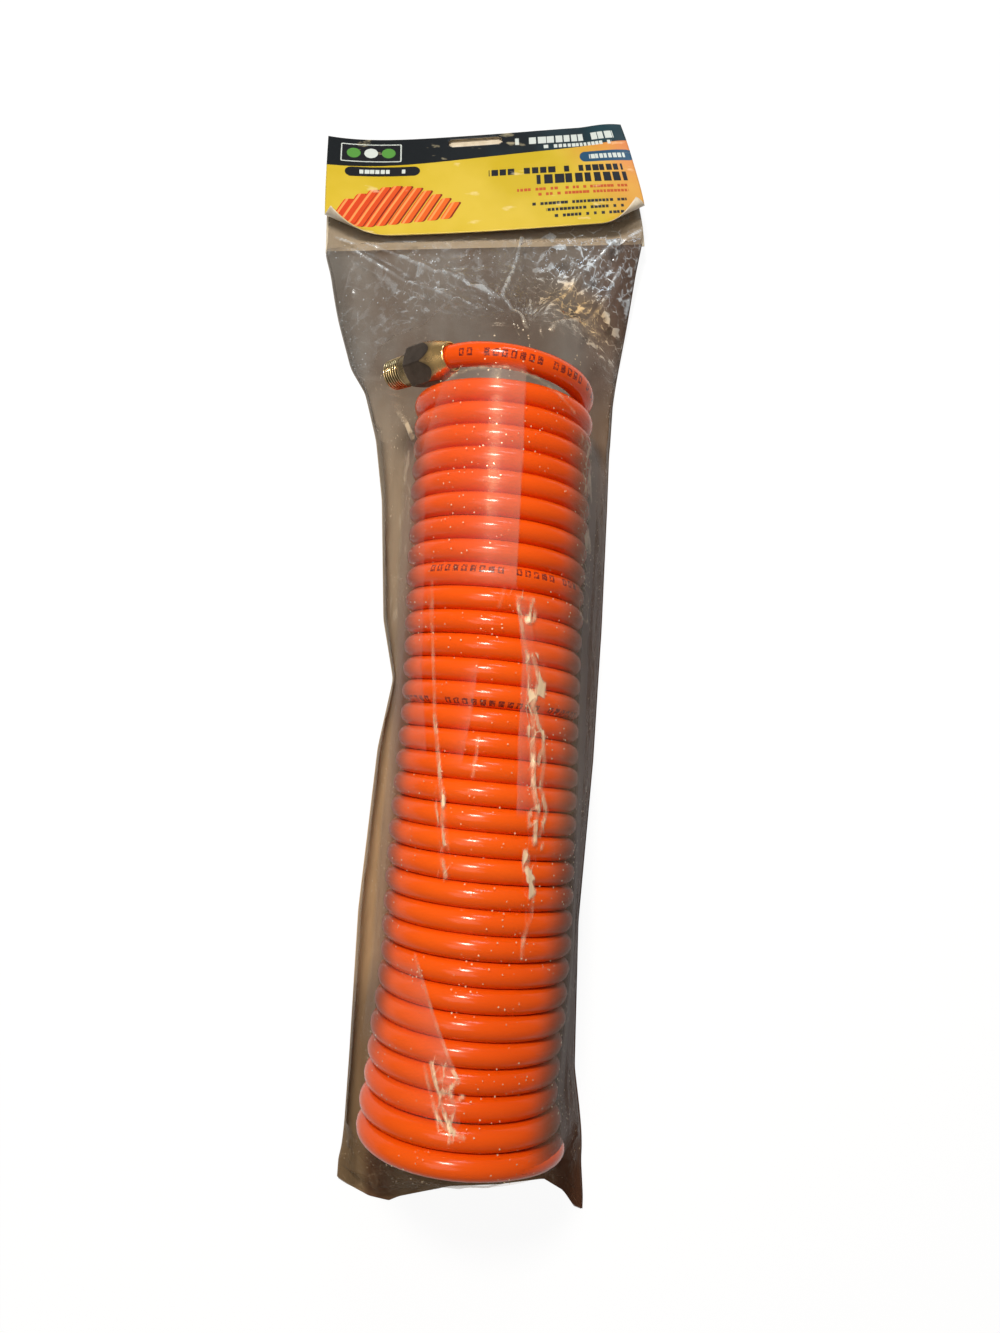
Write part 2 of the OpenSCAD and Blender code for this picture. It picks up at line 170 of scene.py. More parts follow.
class Nodes:
    """The nodes of a new material or world, made from values and numbers."""

    def __init__(self, name, kind="materials"):
        self.owner = getattr(bpy.data, kind).new(name)
        self.owner.use_nodes = True
        self.tree = self.owner.node_tree
        self.tree.nodes.clear()

    def add(self, kind, values=(), **settings):
        made = self.tree.nodes.new("ShaderNode" + kind)
        for key, value in settings.items():
            setattr(made, key, value)
        for key, value in dict(values).items():
            self.put(made.inputs[key], value)
        return made

    def out(self, kind, values=(), output=0, **settings):
        return Value(self, self.add(kind, values, **settings).outputs[output])

    def put(self, socket, value):
        if isinstance(value, Value):
            self.tree.links.new(value.socket, socket)
        else:
            socket.default_value = value

    def math(self, how, *values):
        return self.out("Math", enumerate(values), operation=how)

    def size(self, value):
        return self.math("ABSOLUTE", value)

    def most(self, a, b):
        return self.math("MAXIMUM", a, b)

    def colour(self, fac, low, high):
        made = self.add("Mix", {"Factor": fac}, data_type="RGBA")
        for name, value in (("A", low), ("B", high)):
            self.put([s for s in made.inputs if s.name == name and s.type == "RGBA"][0], value)
        return Value(self, [s for s in made.outputs if s.type == "RGBA"][0])

    def ramp(self, value, low, high, out_low=0.0, out_high=1.0):
        """From out_low to out_high while the value goes from low to high."""
        spans = {0: value, 1: low, 2: high, 3: out_low, 4: out_high}
        return self.out("MapRange", spans, clamp=True)

    def place(self):
        return self.out("TexCoord", output="Object")

    def parts(self, vector):
        split = self.add("SeparateXYZ", {0: vector})
        return Value(self, split.outputs[0]), Value(self, split.outputs[1])

    def noise(self, scale, detail=2.0, at=None, rough=0.5, stretch=(1, 1, 1)):
        at = at or self.place()
        if stretch != (1, 1, 1):
            at = self.out("Mapping", {"Vector": at, "Scale": stretch})
        values = {"Vector": at, "Scale": scale, "Detail": detail, "Roughness": rough}
        return self.out("TexNoise", values)

    def pick(self, cell):
        whole = self.math("FLOOR", cell)
        return self.out("TexWhiteNoise", {"W": whole}, noise_dimensions="1D")

    def dots(self, scale, size, share):
        """Small round marks on a share of the cells of a random pattern."""
        cells = self.add("TexVoronoi", {"Vector": self.place(), "Scale": scale})
        far, colour = (Value(self, cells.outputs[name]) for name in ("Distance", "Color"))
        near = self.ramp(far, size * 0.5, size, 1.0, 0.0)
        return near * (self.out("SeparateColor", {0: colour}) < share)

    def cracks(self, at, scale, width):
        """The thin lines of a random pattern, and a random value in each of its cells."""
        values = {"Vector": at, "Scale": scale}
        edge = self.out("TexVoronoi", values, "Distance", feature="DISTANCE_TO_EDGE")
        cell = self.out("TexVoronoi", values, "Color")
        return self.ramp(edge, 0, width, 1, 0), self.out("SeparateColor", {0: cell})

    def attribute(self, name):
        return self.out("Attribute", output="Fac", attribute_name=name)

    def bump(self, height, strength, distance=0.001):
        values = {"Height": height, "Strength": strength, "Distance": distance}
        return self.out("Bump", values)

    def shader(self, **values):
        named = {key.replace("_", " "): value for key, value in values.items()}
        return self.out("BsdfPrincipled", named)

    def mix(self, fac, low, high):
        return self.out("MixShader", {0: fac, 1: low, 2: high})

    def end(self, surface, kind="Material"):
        self.add("Output" + kind, {"Surface": surface})
        return self.owner

    def end_with(self, **values):
        return self.end(self.shader(**values))


def rgb(*screen):
    """A colour from 0-255 screen values."""
    return tuple(((c / 255 + 0.055) / 1.055) ** 2.4 for c in screen) + (1.0,)


def darker(colour, share):
    return tuple(c * share for c in colour[:3]) + (1.0,)


# ink marks: cell in mm, half width in turns round the hose, shares of the cells
INK_CELL, INK_HALF, INK_MARK, INK_EMPTY, INK_COVER = 3.4, 0.052, 0.64, 0.22, 0.86
HOLLOW_AT, HOLLOW_HALF, SOLID_SHARE = 0.3, 0.12, 0.55


def hose_material(spans):
    """Polyurethane with ink marks; a span is a row's start, end and place round the hose."""
    n = Nodes("hose")
    base = n.colour(n.ramp(n.noise(9, 3), 0.35, 0.65), rgb(240, 92, 10), rgb(230, 80, 6))
    along, around = n.parts(n.out("UVMap"))
    cell = along * (1000 / INK_CELL)
    place, pick = n.math("FRACT", cell), n.pick(cell)
    ink = 0.0
    for low, high, middle in spans:
        off = n.size(n.math("WRAP", around - middle, 0.5, -0.5))
        mark = (off < INK_HALF) * ((along > low) * (along < high))
        hollow = (off < INK_HALF * 0.5) * (n.size(place - HOLLOW_AT) < HOLLOW_HALF)
        ink = mark - mark * (hollow * (pick > SOLID_SHARE)) + ink
    drawn = (place < INK_MARK) * (pick > INK_EMPTY) * ink
    fuzzy = n.ramp(n.noise(1500, 2), 0.34, 0.5)
    return n.end_with(
        Base_Color=n.colour(drawn * fuzzy * INK_COVER, base, rgb(66, 26, 34)),
        Roughness=n.ramp(n.noise(120, 3), 0.3, 0.7, 0.14, 0.22),
        Specular_IOR_Level=0.3,
        Normal=n.bump(n.noise(45), 0.1, 0.0006),
    )


RINGS, RING_DEPTH = 30.0, 0.35


def brass_material(name, dull, bright, rough):
    """Brass, brighter where the attribute zone is 1."""
    n = Nodes(name)
    patches = n.ramp(n.noise(170, 3), 0.38, 0.66)
    turned = n.attribute("zone")
    rings = n.math("SINE", n.attribute("along") * RINGS) * RING_DEPTH
    return n.end_with(
        Base_Color=n.colour(turned, n.colour(patches, dull, darker(dull, 0.7)), bright),
        Metallic=1.0,
        Roughness=n.ramp(n.noise(240), 0.3, 0.7, rough, rough + 0.12) - turned * 0.1,
        Normal=n.bump(n.noise(900) + rings, 0.15, 0.0001),
    )


def plain_material(name, colour, rough, metallic=0.0):
    """One tone with faint clouds and a fine grain."""
    n = Nodes(name)
    return n.end_with(
        Base_Color=n.colour(n.ramp(n.noise(300, 3), 0.3, 0.7), colour, darker(colour, 0.8)),
        Metallic=metallic,
        Roughness=rough,
        Normal=n.bump(n.noise(1200), 0.1, 0.0002),
    )


# the film's tones and its painted shade and shadow: where each comes on or goes off in metres, and
# its share
GREYER, HEAD_TONE, CARD_BACK_SHARE = (-0.02, 0.05), (0.13, 0.19), 0.7
LEFT_SHADE_ON, LEFT_SHADE_OFF, LEFT_SHADE_SHARE = (-0.045, -0.041), (-0.034, -0.026), 0.8
BOTTOM_SHADOW_OFF, BOTTOM_SHADOW_LEAN, BOTTOM_SHADOW_SHARE = (-0.075, -0.055), -0.85, 0.6
RIGHT_SHADE_ON, RIGHT_SHADE_OFF, RIGHT_SHADE_SHARE = (0.026, 0.044), (0.08, 0.17), 0.85
SHADE_AT, SHADE_OFF, SHADE_SHARE = (0.0, 0.222, 0.01), (0.008, 0.038), 0.8


def smoke_and_shade_tone(n):
    """Streaky film over a dim ground, with painted shade on the coil's flanks and in the head, and a
    painted shadow at the bottom.
    """
    at = n.place()
    x, y = n.parts(at)
    grain = n.ramp(n.noise(34, 5, stretch=(2.4, 0.3, 1), rough=0.62), 0.32, 0.7)
    base = n.colour(grain, rgb(148, 120, 86), rgb(198, 168, 128))
    upper = n.colour(grain, rgb(120, 102, 78), rgb(152, 134, 108))
    base = n.colour(n.ramp(y, *GREYER), base, upper)
    # painted shade on the coil's left flank
    left = n.ramp(x, *LEFT_SHADE_ON) * n.ramp(x, *LEFT_SHADE_OFF, 1.0, 0.0)
    base = n.colour(left * LEFT_SHADE_SHARE, base, rgb(100, 50, 32))
    cloud = n.ramp(n.noise(18, 4, stretch=(1.4, 0.8, 1)), 0.4, 0.64)
    head = n.colour(cloud, rgb(118, 114, 108), rgb(94, 80, 68))
    # painted shade: a dark patch in the middle of the head, between its folds
    far = n.out("VectorMath", {0: at, 1: SHADE_AT}, "Value", operation="DISTANCE")
    head = n.colour(n.ramp(far, *SHADE_OFF, SHADE_SHARE, 0), head, rgb(78, 62, 50))
    base = n.colour(n.ramp(y, *HEAD_TONE), base, head)
    # painted shadow over the bottom of the pack, its edge on a slant that reaches higher on the
    # right
    dim = n.ramp(y + x * BOTTOM_SHADOW_LEAN, *BOTTOM_SHADOW_OFF, 1.0, 0.0)
    base = n.colour(dim * BOTTOM_SHADOW_SHARE, base, rgb(78, 60, 42))
    # painted shade down the coil's right side and beyond, weaker towards the head
    side = n.ramp(x, *RIGHT_SHADE_ON) * n.ramp(y, *RIGHT_SHADE_OFF, 1.0, 0.35)
    base = n.colour(side * RIGHT_SHADE_SHARE, base, rgb(80, 40, 24))
    # the card's back panel shows below the front one
    c, t = math.cos(CARD_TURN), math.sin(CARD_TURN)
    past_edge = y * c + x * -t + (t * CARD_X - c * CARD_Y + OVERHANG) * MM
    return n.colour((past_edge > 0.0) * CARD_BACK_SHARE, base, rgb(186, 170, 146))


SHINE, STREAK_SHINE, LOOSE_SHINE, CRINKLE_SHINE = 0.001, 0.003, 0.014, 0.03
# crackle of painted glints: scale and line width, share of dark facets, strength of lines and facets
FINE, FINE_DARK, FINE_LINE, FINE_FACET = (0.34, 0.07), 0.76, 0.6, 0.9
WIDE, WIDE_DARK, WIDE_LINE, WIDE_FACET = (0.13, 0.02), 0.88, 0.14, 0.03
# painted sparkles: scale, size and share of the dots, and their strength; then the haze's share
SPARKLE, SPARKLE_SHARE, HAZE_SHARE = (430, 0.2, 0.6), 0.7, 0.24


def film_material():
    """Clear film with haze and smoky margins, painted shade beside the coil, and painted glints on
    its creases, crackle, facets and sparkling specks.
    """
    n = Nodes("clear_film")
    crease, crinkle, loose, warm, haze, skirt_and_shade = (
        n.attribute(name) for name in ("crease", "crinkle", "loose", "warm", "haze", "skirt_and_shade")
    )
    streaks = n.ramp(n.noise(26, 3, stretch=(3.2, 0.42, 1.5)), 0.5, 0.8)
    shine = streaks * STREAK_SHINE + SHINE + loose * LOOSE_SHINE + crinkle * CRINKLE_SHINE
    # the film's own gloss, with a painted warm tint where the attribute warm is high and a cool one
    # elsewhere
    gloss = n.shader(
        Base_Color=n.colour(warm, rgb(226, 234, 242), rgb(250, 214, 150)),
        Metallic=0.9,
        Roughness=0.16,
        Normal=n.bump(n.noise(150, 3), 0.3, 0.0008),
    )
    # painted glints: a bright, nearly matt shader, warm and cool like the gloss, shown where lit is
    # high
    bright = n.colour(warm, rgb(226, 236, 244), rgb(255, 218, 160))
    glint = n.shader(Base_Color=bright, Roughness=0.3, Metallic=0.2)
    clear = n.out("BsdfTransparent", {"Color": (0.985, 0.975, 0.965, 1)})
    milky = n.shader(Base_Color=rgb(216, 168, 150), Roughness=0.35)
    # smoky film together with the painted shade, where the attribute calls for it
    smoky = n.shader(Base_Color=smoke_and_shade_tone(n), Roughness=0.4, Specular_IOR_Level=0.12)
    seen = n.mix(skirt_and_shade, n.mix(haze * HAZE_SHARE, clear, milky), smoky)
    seen = n.mix(shine, seen, gloss)
    at = n.out("UVMap")
    broken = n.ramp(n.noise(0.3, 2, at=at), 0.45, 0.56)
    (fine, fine_pick), (wide, wide_pick) = n.cracks(at, *FINE), n.cracks(at, *WIDE)
    facet = (fine_pick > FINE_DARK) * FINE_FACET
    broad = (wide_pick > WIDE_DARK) * WIDE_FACET * (loose + crinkle)
    lit = n.most(fine * FINE_LINE, facet) * crinkle * broken
    lit = lit + wide * loose * broken * WIDE_LINE + broad
    # painted sparkles: small bright dots in clusters
    sparkles = n.dots(*SPARKLE) * n.ramp(n.noise(38, 2), 0.46, 0.56) * SPARKLE_SHARE
    lit = lit + crease * n.ramp(broken, 0, 1, 0.35, 1) + sparkles
    return n.end(n.mix(n.ramp(lit, 0, 1, 0, 0.9), seen, glint))


def backing_material():
    # the back film takes the same tone, with its painted shade and shadow
    n = Nodes("smoky_film")
    return n.end_with(
        Base_Color=smoke_and_shade_tone(n),
        Roughness=0.42,
        Specular_IOR_Level=0.12,
        Normal=n.bump(n.noise(90, 3), 0.3, 0.001),
    )


INK, PALE, GREEN = rgb(20, 20, 24), rgb(206, 214, 210), rgb(84, 146, 62)
BLUE, RUST = rgb(30, 74, 106), rgb(186, 78, 22)
# boxes on the card: middle, half width and height, corner radius, colour
CARD_BOXES = (
    (-52, 42.0, 19, 3.2, 3.2, INK),
    (66, 44.6, 16, 3.4, 3.4, BLUE),
    (-58, 55.6, 15.5, 6.4, 0.6, PALE),
    (-58, 55.6, 14.9, 5.8, 0.4, INK),
    (-67, 55.6, 3.4, 3.4, 3.4, GREEN),
    (-58, 55.6, 3.4, 3.4, 3.4, PALE),
    (-49, 55.6, 3.4, 3.4, 3.4, GREEN),
)
# rows of plain blocks on the card: start, end, middle, half height, cell, colour
CARD_ROWS = (
    (16, 74, 58.6, 2.3, 4.6, PALE),
    (30, 72, 53.6, 1.1, 2.6, PALE),
    (-64, -40, 42.0, 1.3, 2.7, PALE),
    (56, 77, 44.6, 1.4, 2.7, PALE),
    (2, 74, 36.8, 2.0, 4.1, INK),
    (26, 75, 30.4, 3.0, 5.4, INK),
    (16, 74, 24.0, 0.8, 1.9, RUST),
    (26, 74, 20.6, 0.8, 1.9, RUST),
    (22, 72, 14.6, 0.8, 2.0, INK),
    (30, 70, 10.6, 0.8, 2.0, INK),
    (34, 70, 6.6, 0.8, 2.0, INK),
)
STRIPES, STRIPE_AT, STRIPE_STEP, STRIPE_LEAN = 11, -74, 5.6, 0.55
# the dark band's lower edge: height, slope and curve
BAND_EDGE, SOFT_EDGE, ROW_SHIFT = (48.6, 0.056, 0.00017), 0.25, 7.3


def card_material():
    """Plain generic print: a dark band over a warm ground, discs, bars and stripes, and a painted
    bluish sheen on the band's right part.
    """
    n = Nodes("printed_card")
    x, y = n.parts(n.out("UVMap"))

    def past(value, middle, half):
        return n.most(n.size(value - middle) - half, 0.0)

    def box(cx, cy, half_w, half_h, corner=0.0, lean=0.0):
        across = x + (y - cy) * -lean if lean else x
        dx, dy = past(across, cx, half_w - corner), past(y, cy, half_h - corner)
        return n.ramp(n.math("SQRT", dx * dx + dy * dy), corner, corner + SOFT_EDGE, 1.0, 0.0)

    base = n.colour(n.ramp(x + y * 0.5, 60, 96), rgb(198, 170, 28), rgb(214, 130, 66))
    base = n.colour(n.ramp(n.noise(24, 3), 0.42, 0.66, 0.0, 0.4), base, rgb(228, 200, 84))
    for k in range(STRIPES):
        tall = 7.2 + 6.0 * math.sin(0.3 * k + 0.5)
        for shift, half, paint in (
            (0.9, 2.3, rgb(126, 30, 8)),
            (0.0, 2.2, rgb(206 + 2 * k, 62 + 4 * k, 24)),
            (-0.9, 0.5, rgb(250, 150, 84)),
        ):
            cx, cy = STRIPE_AT + shift + STRIPE_STEP * k, 3.0 + tall + 0.6 * k
            base = n.colour(box(cx, cy, half, tall, 0.5 * half, STRIPE_LEAN), base, paint)
    height, slope, curve = BAND_EDGE
    edge = x * slope + height + x * x * curve
    # painted sheen: a bluish glare over the right half of the dark band
    sheen = n.ramp(n.noise(22, 2), 0.45, 0.62, 0.0, 0.5) * n.ramp(x, 0, 30)
    band_with_sheen = n.colour(sheen, rgb(13, 17, 20), rgb(40, 84, 96))
    base = n.colour(n.ramp(y - edge, 0.0, SOFT_EDGE), base, band_with_sheen)
    for cx, cy, half_w, half_h, corner, paint in CARD_BOXES:
        base = n.colour(box(cx, cy, half_w, half_h, corner), base, paint)
    for seed, (start, end, cy, half_h, cell, paint) in enumerate(CARD_ROWS):
        part = x * (1 / cell) + ROW_SHIFT * seed
        pick = n.pick(part)
        drawn = (n.math("FRACT", part) < n.ramp(pick, 0, 1, 0.6, 0.95)) * (pick > 0.16)
        row = box((start + end) / 2, cy, (end - start) / 2, half_h, 0.1)
        base = n.colour(drawn * row, base, paint)
    # pale cream patches in streaks over the print
    pale_patches = n.ramp(n.noise(60, 4, stretch=(1, 2.2, 1)), 0.64, 0.7, 0.0, 0.35)
    base = n.colour(pale_patches, base, rgb(246, 232, 190))
    board = n.colour(n.ramp(n.noise(220, 3), 0.3, 0.7), rgb(226, 216, 196), rgb(204, 190, 166))
    return n.end_with(
        Base_Color=n.colour(n.attribute("printed"), board, base),
        Roughness=0.34,
        Specular_IOR_Level=0.3,
        Normal=n.bump(n.noise(40, 3), 0.25, 0.0012),
    )


# ---- hose
HOSE_R, LIFT, LEAN = 5.0, 5.6, 3.4
FAR_ANGLE = 39.0
NEAR_END, NEAR_Z, DROP_R = 6.515, 43.6, 31.485
# the hose's swelling over the far fitting's barbs
SWELL, SWELL_IN, SWELL_OUT = 0.3, 0.05, (0.3, -0.2)
LINE_START, LINE_END = -FAR_ANGLE / 360, 32.5
# the hose's place along the pack, by turn
TURN_AT = (LINE_START, 0, 0.12, 0.25, 0.5, 0.75, 1, 31.75, 32, 32.25, LINE_END)
TURN_Y = (166.065, 163.7, 161.4, 158.8, 154.8, 151.4, 148.5, -157.2, -159.8, -162.2, -166.065)
# the coil's radius and its drift to the side, by turn
COIL_TURN = (0, 1, 5.5, 8.6, 11.6, 14, 17, 19.5, 22, 24.8, 27, 28.6, 30.2, 31.2, 32.5)
COIL_R = (36, 35.6, 35.5, 35.1, 34.3, 34.3, 34.9, 35.5, 35.4, 35.3, 35.6, 35.6, 35.6, 37.2, 37.4)
COIL_X = (0, 0.5, 1.2, 1.0, 1.4, 1.8, 1.9, 1.2, 1.3, 1.4, 0.2, -1.0, -1.8, -1.8, -1.0)
EASE_STEPS = 8001


def eased(at, knots, values, width):
    """Values between knots, with rounded corners."""
    fine = np.linspace(knots[0] - width, knots[-1] + width, EASE_STEPS)
    knots, values = np.array(knots, float), np.array(values, float)
    slope = np.diff(values) / np.diff(knots)
    plain = np.interp(fine, knots, values)
    plain += np.minimum(fine - knots[0], 0) * slope[0] + np.maximum(fine - knots[-1], 0) * slope[-1]
    kernel = np.hanning(2 * int(width / (fine[1] - fine[0]) / 2) + 3)
    return np.interp(at, fine, np.convolve(plain, kernel / kernel.sum(), "same"))


# turns over which the coil drifts, lies unevenly and closes in
DRIFT_IN, PLAY_IN, PLAY_OUT, CLOSING = (0, 0.3), (1, 2), (30, -2), (32, 0.4)
PLAY_R, PLAY_Y = (0.5, 2.4), (0.24, 1.7)


def hose_line(per_turn=48):
    """The hose's middle line, its outward direction and its turns."""
    turns = np.linspace(LINE_START, LINE_END, int((LINE_END - LINE_START) * per_turn))
    y = eased(turns, TURN_AT, TURN_Y, 0.1)
    radius = eased(turns, COIL_TURN, COIL_R, 0.4)
    mid_x = eased(turns, COIL_TURN, COIL_X, 0.4)
    radius = np.where(turns < 0, COIL_R[0], radius)
    mid_x = mid_x * rise(turns, *DRIFT_IN)
    loose = rise(turns, *PLAY_IN) * rise(turns, *PLAY_OUT)
    radius = radius + loose * PLAY_R[0] * (noise(turns * PLAY_R[1], turns * 0, 3) - 0.5)
    y = y + loose * PLAY_Y[0] * (noise(turns * PLAY_Y[1], turns * 0, 4) - 0.5)
    angle = turns * 2 * np.pi
    y = y + np.where((turns > 0) & (turns < CLOSING[0]), LEAN * (1 - np.cos(angle)) / 2, 0)
    out = stacked(np.sin(angle), 0, np.cos(angle))
    middle = stacked(mid_x, y, LIFT + radius) + out * radius[:, None]
    pivot = stacked(NEAR_END, y, NEAR_Z)
    share = rise(turns, *CLOSING)[:, None]
    return middle * (1 - share) + (pivot + out * DROP_R) * share, out, turns


def swept(name, line, outward, radius, sides=18):
    """A round tube along a line, and each point's way along it in metres."""
    along = unit(np.gradient(line, axis=0))
    side = unit(outward - (outward * along).sum(-1, keepdims=True) * along)
    other = np.cross(along, side)
    turn = np.linspace(0, 2 * np.pi, sides, endpoint=False)
    across, up = np.cos(turn)[None, :, None], np.sin(turn)[None, :, None]
    points = line[:, None] + (across * side[:, None] + up * other[:, None]) * radius[:, None, None]
    steps = np.linalg.norm(np.diff(line, axis=0), axis=1)
    length = np.append(0, np.cumsum(steps)) * MM
    uv = stacked(length[:, None], np.arange(sides) / sides)
    return grid_object(name, points, wrap=True, flip=True, uv=uv), length


line, outward, turns = hose_line()
swell = SWELL * rise(turns, LINE_START, SWELL_IN) * rise(turns, *SWELL_OUT)
hose, hose_reach = swept("hose", line, outward, HOSE_R + swell)
# rows of ink marks: first turn, last turn, place round the hose
INK_ROWS = ((-0.09, 0.23, 0.03), (8.86, 9.22, -0.05), (13.76, 14.2, 0.13))
spans = [(*np.interp((a, b), turns, hose_reach).tolist(), c) for a, b, c in INK_ROWS]
hose.data.materials.append(hose_material(spans))
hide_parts("hose_coil", "far_tail", "near_tail")
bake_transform(hose)

# ---- fittings
HEX_AF, BODY_L, HEX_CLOCK, HEX_POINTS = 17.0, 22.0, -18.0, 240
NOSE_R, NOSE_ANGLE, NOSE_ROUND = 6.6, 15.7, 0.4
SOCKET_R, SWIVEL_R, SWIVEL_AT, FRONT_R, FRONT_CHAMFER = 5.7, 5.62, 14.0, 7.5, 30.0
CORNER_R = HEX_AF / 2 / math.cos(math.pi / 6)
THREAD_PITCH, THREAD_R, THREAD_DEPTH = 1.411, 6.8, 0.95
NECK_R, NECK_START, JOURNAL_R, AIR_R = 7.0, 22.1, 5.5, 2.8
THREAD_START, STEM_END, TIP = 26.4, 36.6, 1.0
FAR_AT = line[0]
CORNER_CUT, EDGE_WEAR, NOSE_DULLS = 0.988, 0.05, (3, 6)
THREAD_POINTS, THREAD_TAPER, THREAD_FADE = 96, 0.16, 1.2


def along_profile(stops, step):
    """Points every step along a line of stops."""
    rows = []
    for a, b in zip(stops[:-1], stops[1:]):
        parts = max(1, round(math.hypot(b[0] - a[0], b[1] - a[1]) / step))
        rows += [[u + (v - u) * k / parts for u, v in zip(a, b)] for k in range(parts)]
    rows.append(list(stops[-1]))
    return np.array(rows, float)


def place(points, at, turn):
    """Turns points about Y by turn degrees and moves them to at."""
    c, s = math.cos(math.radians(turn)), math.sin(math.radians(turn))
    return points @ np.array([[c, 0, s], [0, 1, 0], [-s, 0, c]]).T + np.asarray(at)


def turned(name, rows, radii, zone, at, turn):
    """A piece turned about Z: a grid of radii, one row for each row of the profile."""
    angles = np.linspace(0, 2 * np.pi, radii.shape[1], endpoint=False)
    z = np.broadcast_to(rows[:, 1:2], radii.shape)
    points = stacked(radii * np.cos(angles), radii * np.sin(angles), z)
    obj = grid_object(name, place(points, at, turn), wrap=True)
    add_attribute(obj, "along", z)
    add_attribute(obj, "zone", np.broadcast_to(zone, radii.shape))
    return obj


def hex_body(name, at, turn):
    """Hexagon body: a coned nose, flats, and a chamfered front with its bore."""
    wide = CORNER_R + 0.2
    cone_top = (wide - NOSE_R) / math.tan(math.radians(NOSE_ANGLE))
    bevel = (CORNER_R - FRONT_R) * math.tan(math.radians(FRONT_CHAMFER))
    stops = [(SOCKET_R, 9), (SOCKET_R, 0.25), (SOCKET_R + 0.25, 0), (NOSE_R - NOSE_ROUND, 0)]
    stops += [(NOSE_R, NOSE_ROUND), (wide, cone_top), (wide, BODY_L - bevel), (FRONT_R, BODY_L)]
    stops += [(SWIVEL_R, BODY_L), (SWIVEL_R, SWIVEL_AT)]
    rows = along_profile(stops, 0.22)
    angles = np.linspace(0, 360, HEX_POINTS, endpoint=False)
    part = np.mod(angles - HEX_CLOCK, 60) - 30
    flat = np.minimum(HEX_AF / 2 / np.cos(np.radians(part)), CORNER_R * CORNER_CUT)[None]
    limit = rows[:, :1]
    radii = np.minimum(limit, flat) - EDGE_WEAR * np.exp(-np.abs(limit - flat) / 0.1)
    fresh = smooth((flat - limit) / 0.12 + 0.3) * (1 - 0.75 * rise(rows[:, 1:], *NOSE_DULLS))
    return turned(name, rows, radii, fresh, at, turn)


def stem(name, at, turn):
    """Swivelling stem: journal, neck and a tapered thread with helical crests."""
    neck = [(JOURNAL_R, 16), (JOURNAL_R, NECK_START), (NECK_R + 0.3, NECK_START)]
    neck += [(NECK_R, NECK_START + 1), (NECK_R, THREAD_START - 0.4), (THREAD_R - 0.4, THREAD_START)]
    tip = [(THREAD_R - TIP, STEM_END), (AIR_R + 0.3, STEM_END), (AIR_R, STEM_END - 0.3), (AIR_R, 16)]
    neck, tip = along_profile(neck, 0.3), along_profile(tip, 0.4)
    z = np.arange(THREAD_START + 0.05, STEM_END, 0.09)[:, None]
    angles = np.linspace(0, 1, THREAD_POINTS, endpoint=False)[None]
    taper = (1 - 2 * (z - THREAD_START) / (STEM_END - THREAD_START)) * THREAD_TAPER
    phase = np.mod((z - THREAD_START) / THREAD_PITCH - angles, 1)
    cut = np.clip((np.abs(2 * phase - 1) - 0.1) / 0.8, 0, 1) * THREAD_DEPTH
    fade = rise(z, THREAD_START, THREAD_FADE)
    threaded = np.minimum(THREAD_R + taper - cut * fade, THREAD_R - TIP + STEM_END - z)
    rows = np.vstack([neck, np.hstack([z * 0 + THREAD_R, z]), tip])
    wide = np.ones((1, THREAD_POINTS))
    radii = np.vstack([neck[:, :1] * wide, threaded, tip[:, :1] * wide])
    zone = np.clip(1 - cut / THREAD_DEPTH * 2.2, 0, 1)
    zone = np.vstack([neck[:, :1] * 0 + 0.2 * wide, zone, tip[:, :1] * 0 + 0.5 * wide])
    return turned(name, rows, radii, zone, at, turn)


body_brass = brass_material("brass_body", rgb(92, 80, 70), rgb(240, 200, 134), 0.28)
stem_brass = brass_material("brass_stem", rgb(90, 72, 48), rgb(255, 228, 172), 0.24)
insert_brass = plain_material("insert_brass", rgb(214, 176, 104), 0.28, 1.0)
spring_steel = plain_material("spring_steel", rgb(178, 180, 184), 0.25, 1.0)
seal_rubber = plain_material("seal_rubber", rgb(34, 34, 36), 0.5)
hose_plain = plain_material("hose_plain", rgb(240, 78, 18), 0.25)
for end, at, turn, body, stem_body in (
    ("far", FAR_AT, -90 - FAR_ANGLE, "far_end", "far_stem"),
    ("near", line[-1], -90, "hose", "near_stem"),
):
    hexagon = hex_body(end + "_fitting_body", at, turn)
    hexagon.data.materials.append(body_brass)
    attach(hexagon, body)
    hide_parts(end + "_hex_body")
    thread = stem(end + "_fitting_stem", at, turn)
    thread.data.materials.append(stem_brass)
    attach(thread, stem_body)
    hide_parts(end + "_threaded_stem")
    for part, material in (
        ("barbed_insert", insert_brass),
        ("grip_sleeve", insert_brass),
        ("retaining_ring", spring_steel),
        ("seal_ring", seal_rubber),
        ("hose_end", hose_plain),
    ):
        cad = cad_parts[f"{end}_{part}"]
        cad.data.materials.clear()
        cad.data.materials.append(material)

# ---- header card and the bag's head
CARD_IN, CARD_T, HALF_W = 0.85, 0.5, CARD_W / 2
CARD_SLOPE = (CARD_RISE - FOLD_RISE) / CARD_H
CARD_TILT = math.atan(CARD_SLOPE)
SLOT_U, SLOT_S, SLOT_W, SLOT_H, SLOT_DROP = -4.5, 60.8, 28.0, 6.0, 3.4
CARD_COLS, PANEL_ROWS, UNDER_ROWS = 200, 100, 90
WARP_ROOM = 34.0
# across the card: how far the front panel is raised and the fold sags
WARP_U = (-HALF_W, -67, -42, 7, 47, 65, HALF_W)
RAISED = np.polyfit(WARP_U, (3, 3.4, 3.6, 5.4, 8, 9.5, 10), 4)
SAG = np.polyfit(WARP_U, (0.9, 3.2, 5.2, 2.2, -0.4, 0.2, 1.6), 4)
CORNER_RISE, CORNER_U, CORNER_S = 3, (50, 30), (30, 35)
DRAWN_U, DRAWN_IN, BOW, RIPPLE, FOLD_DROP = (35, 46), (1.3, 8.6, 1.6), 2, 0.5, 0.6
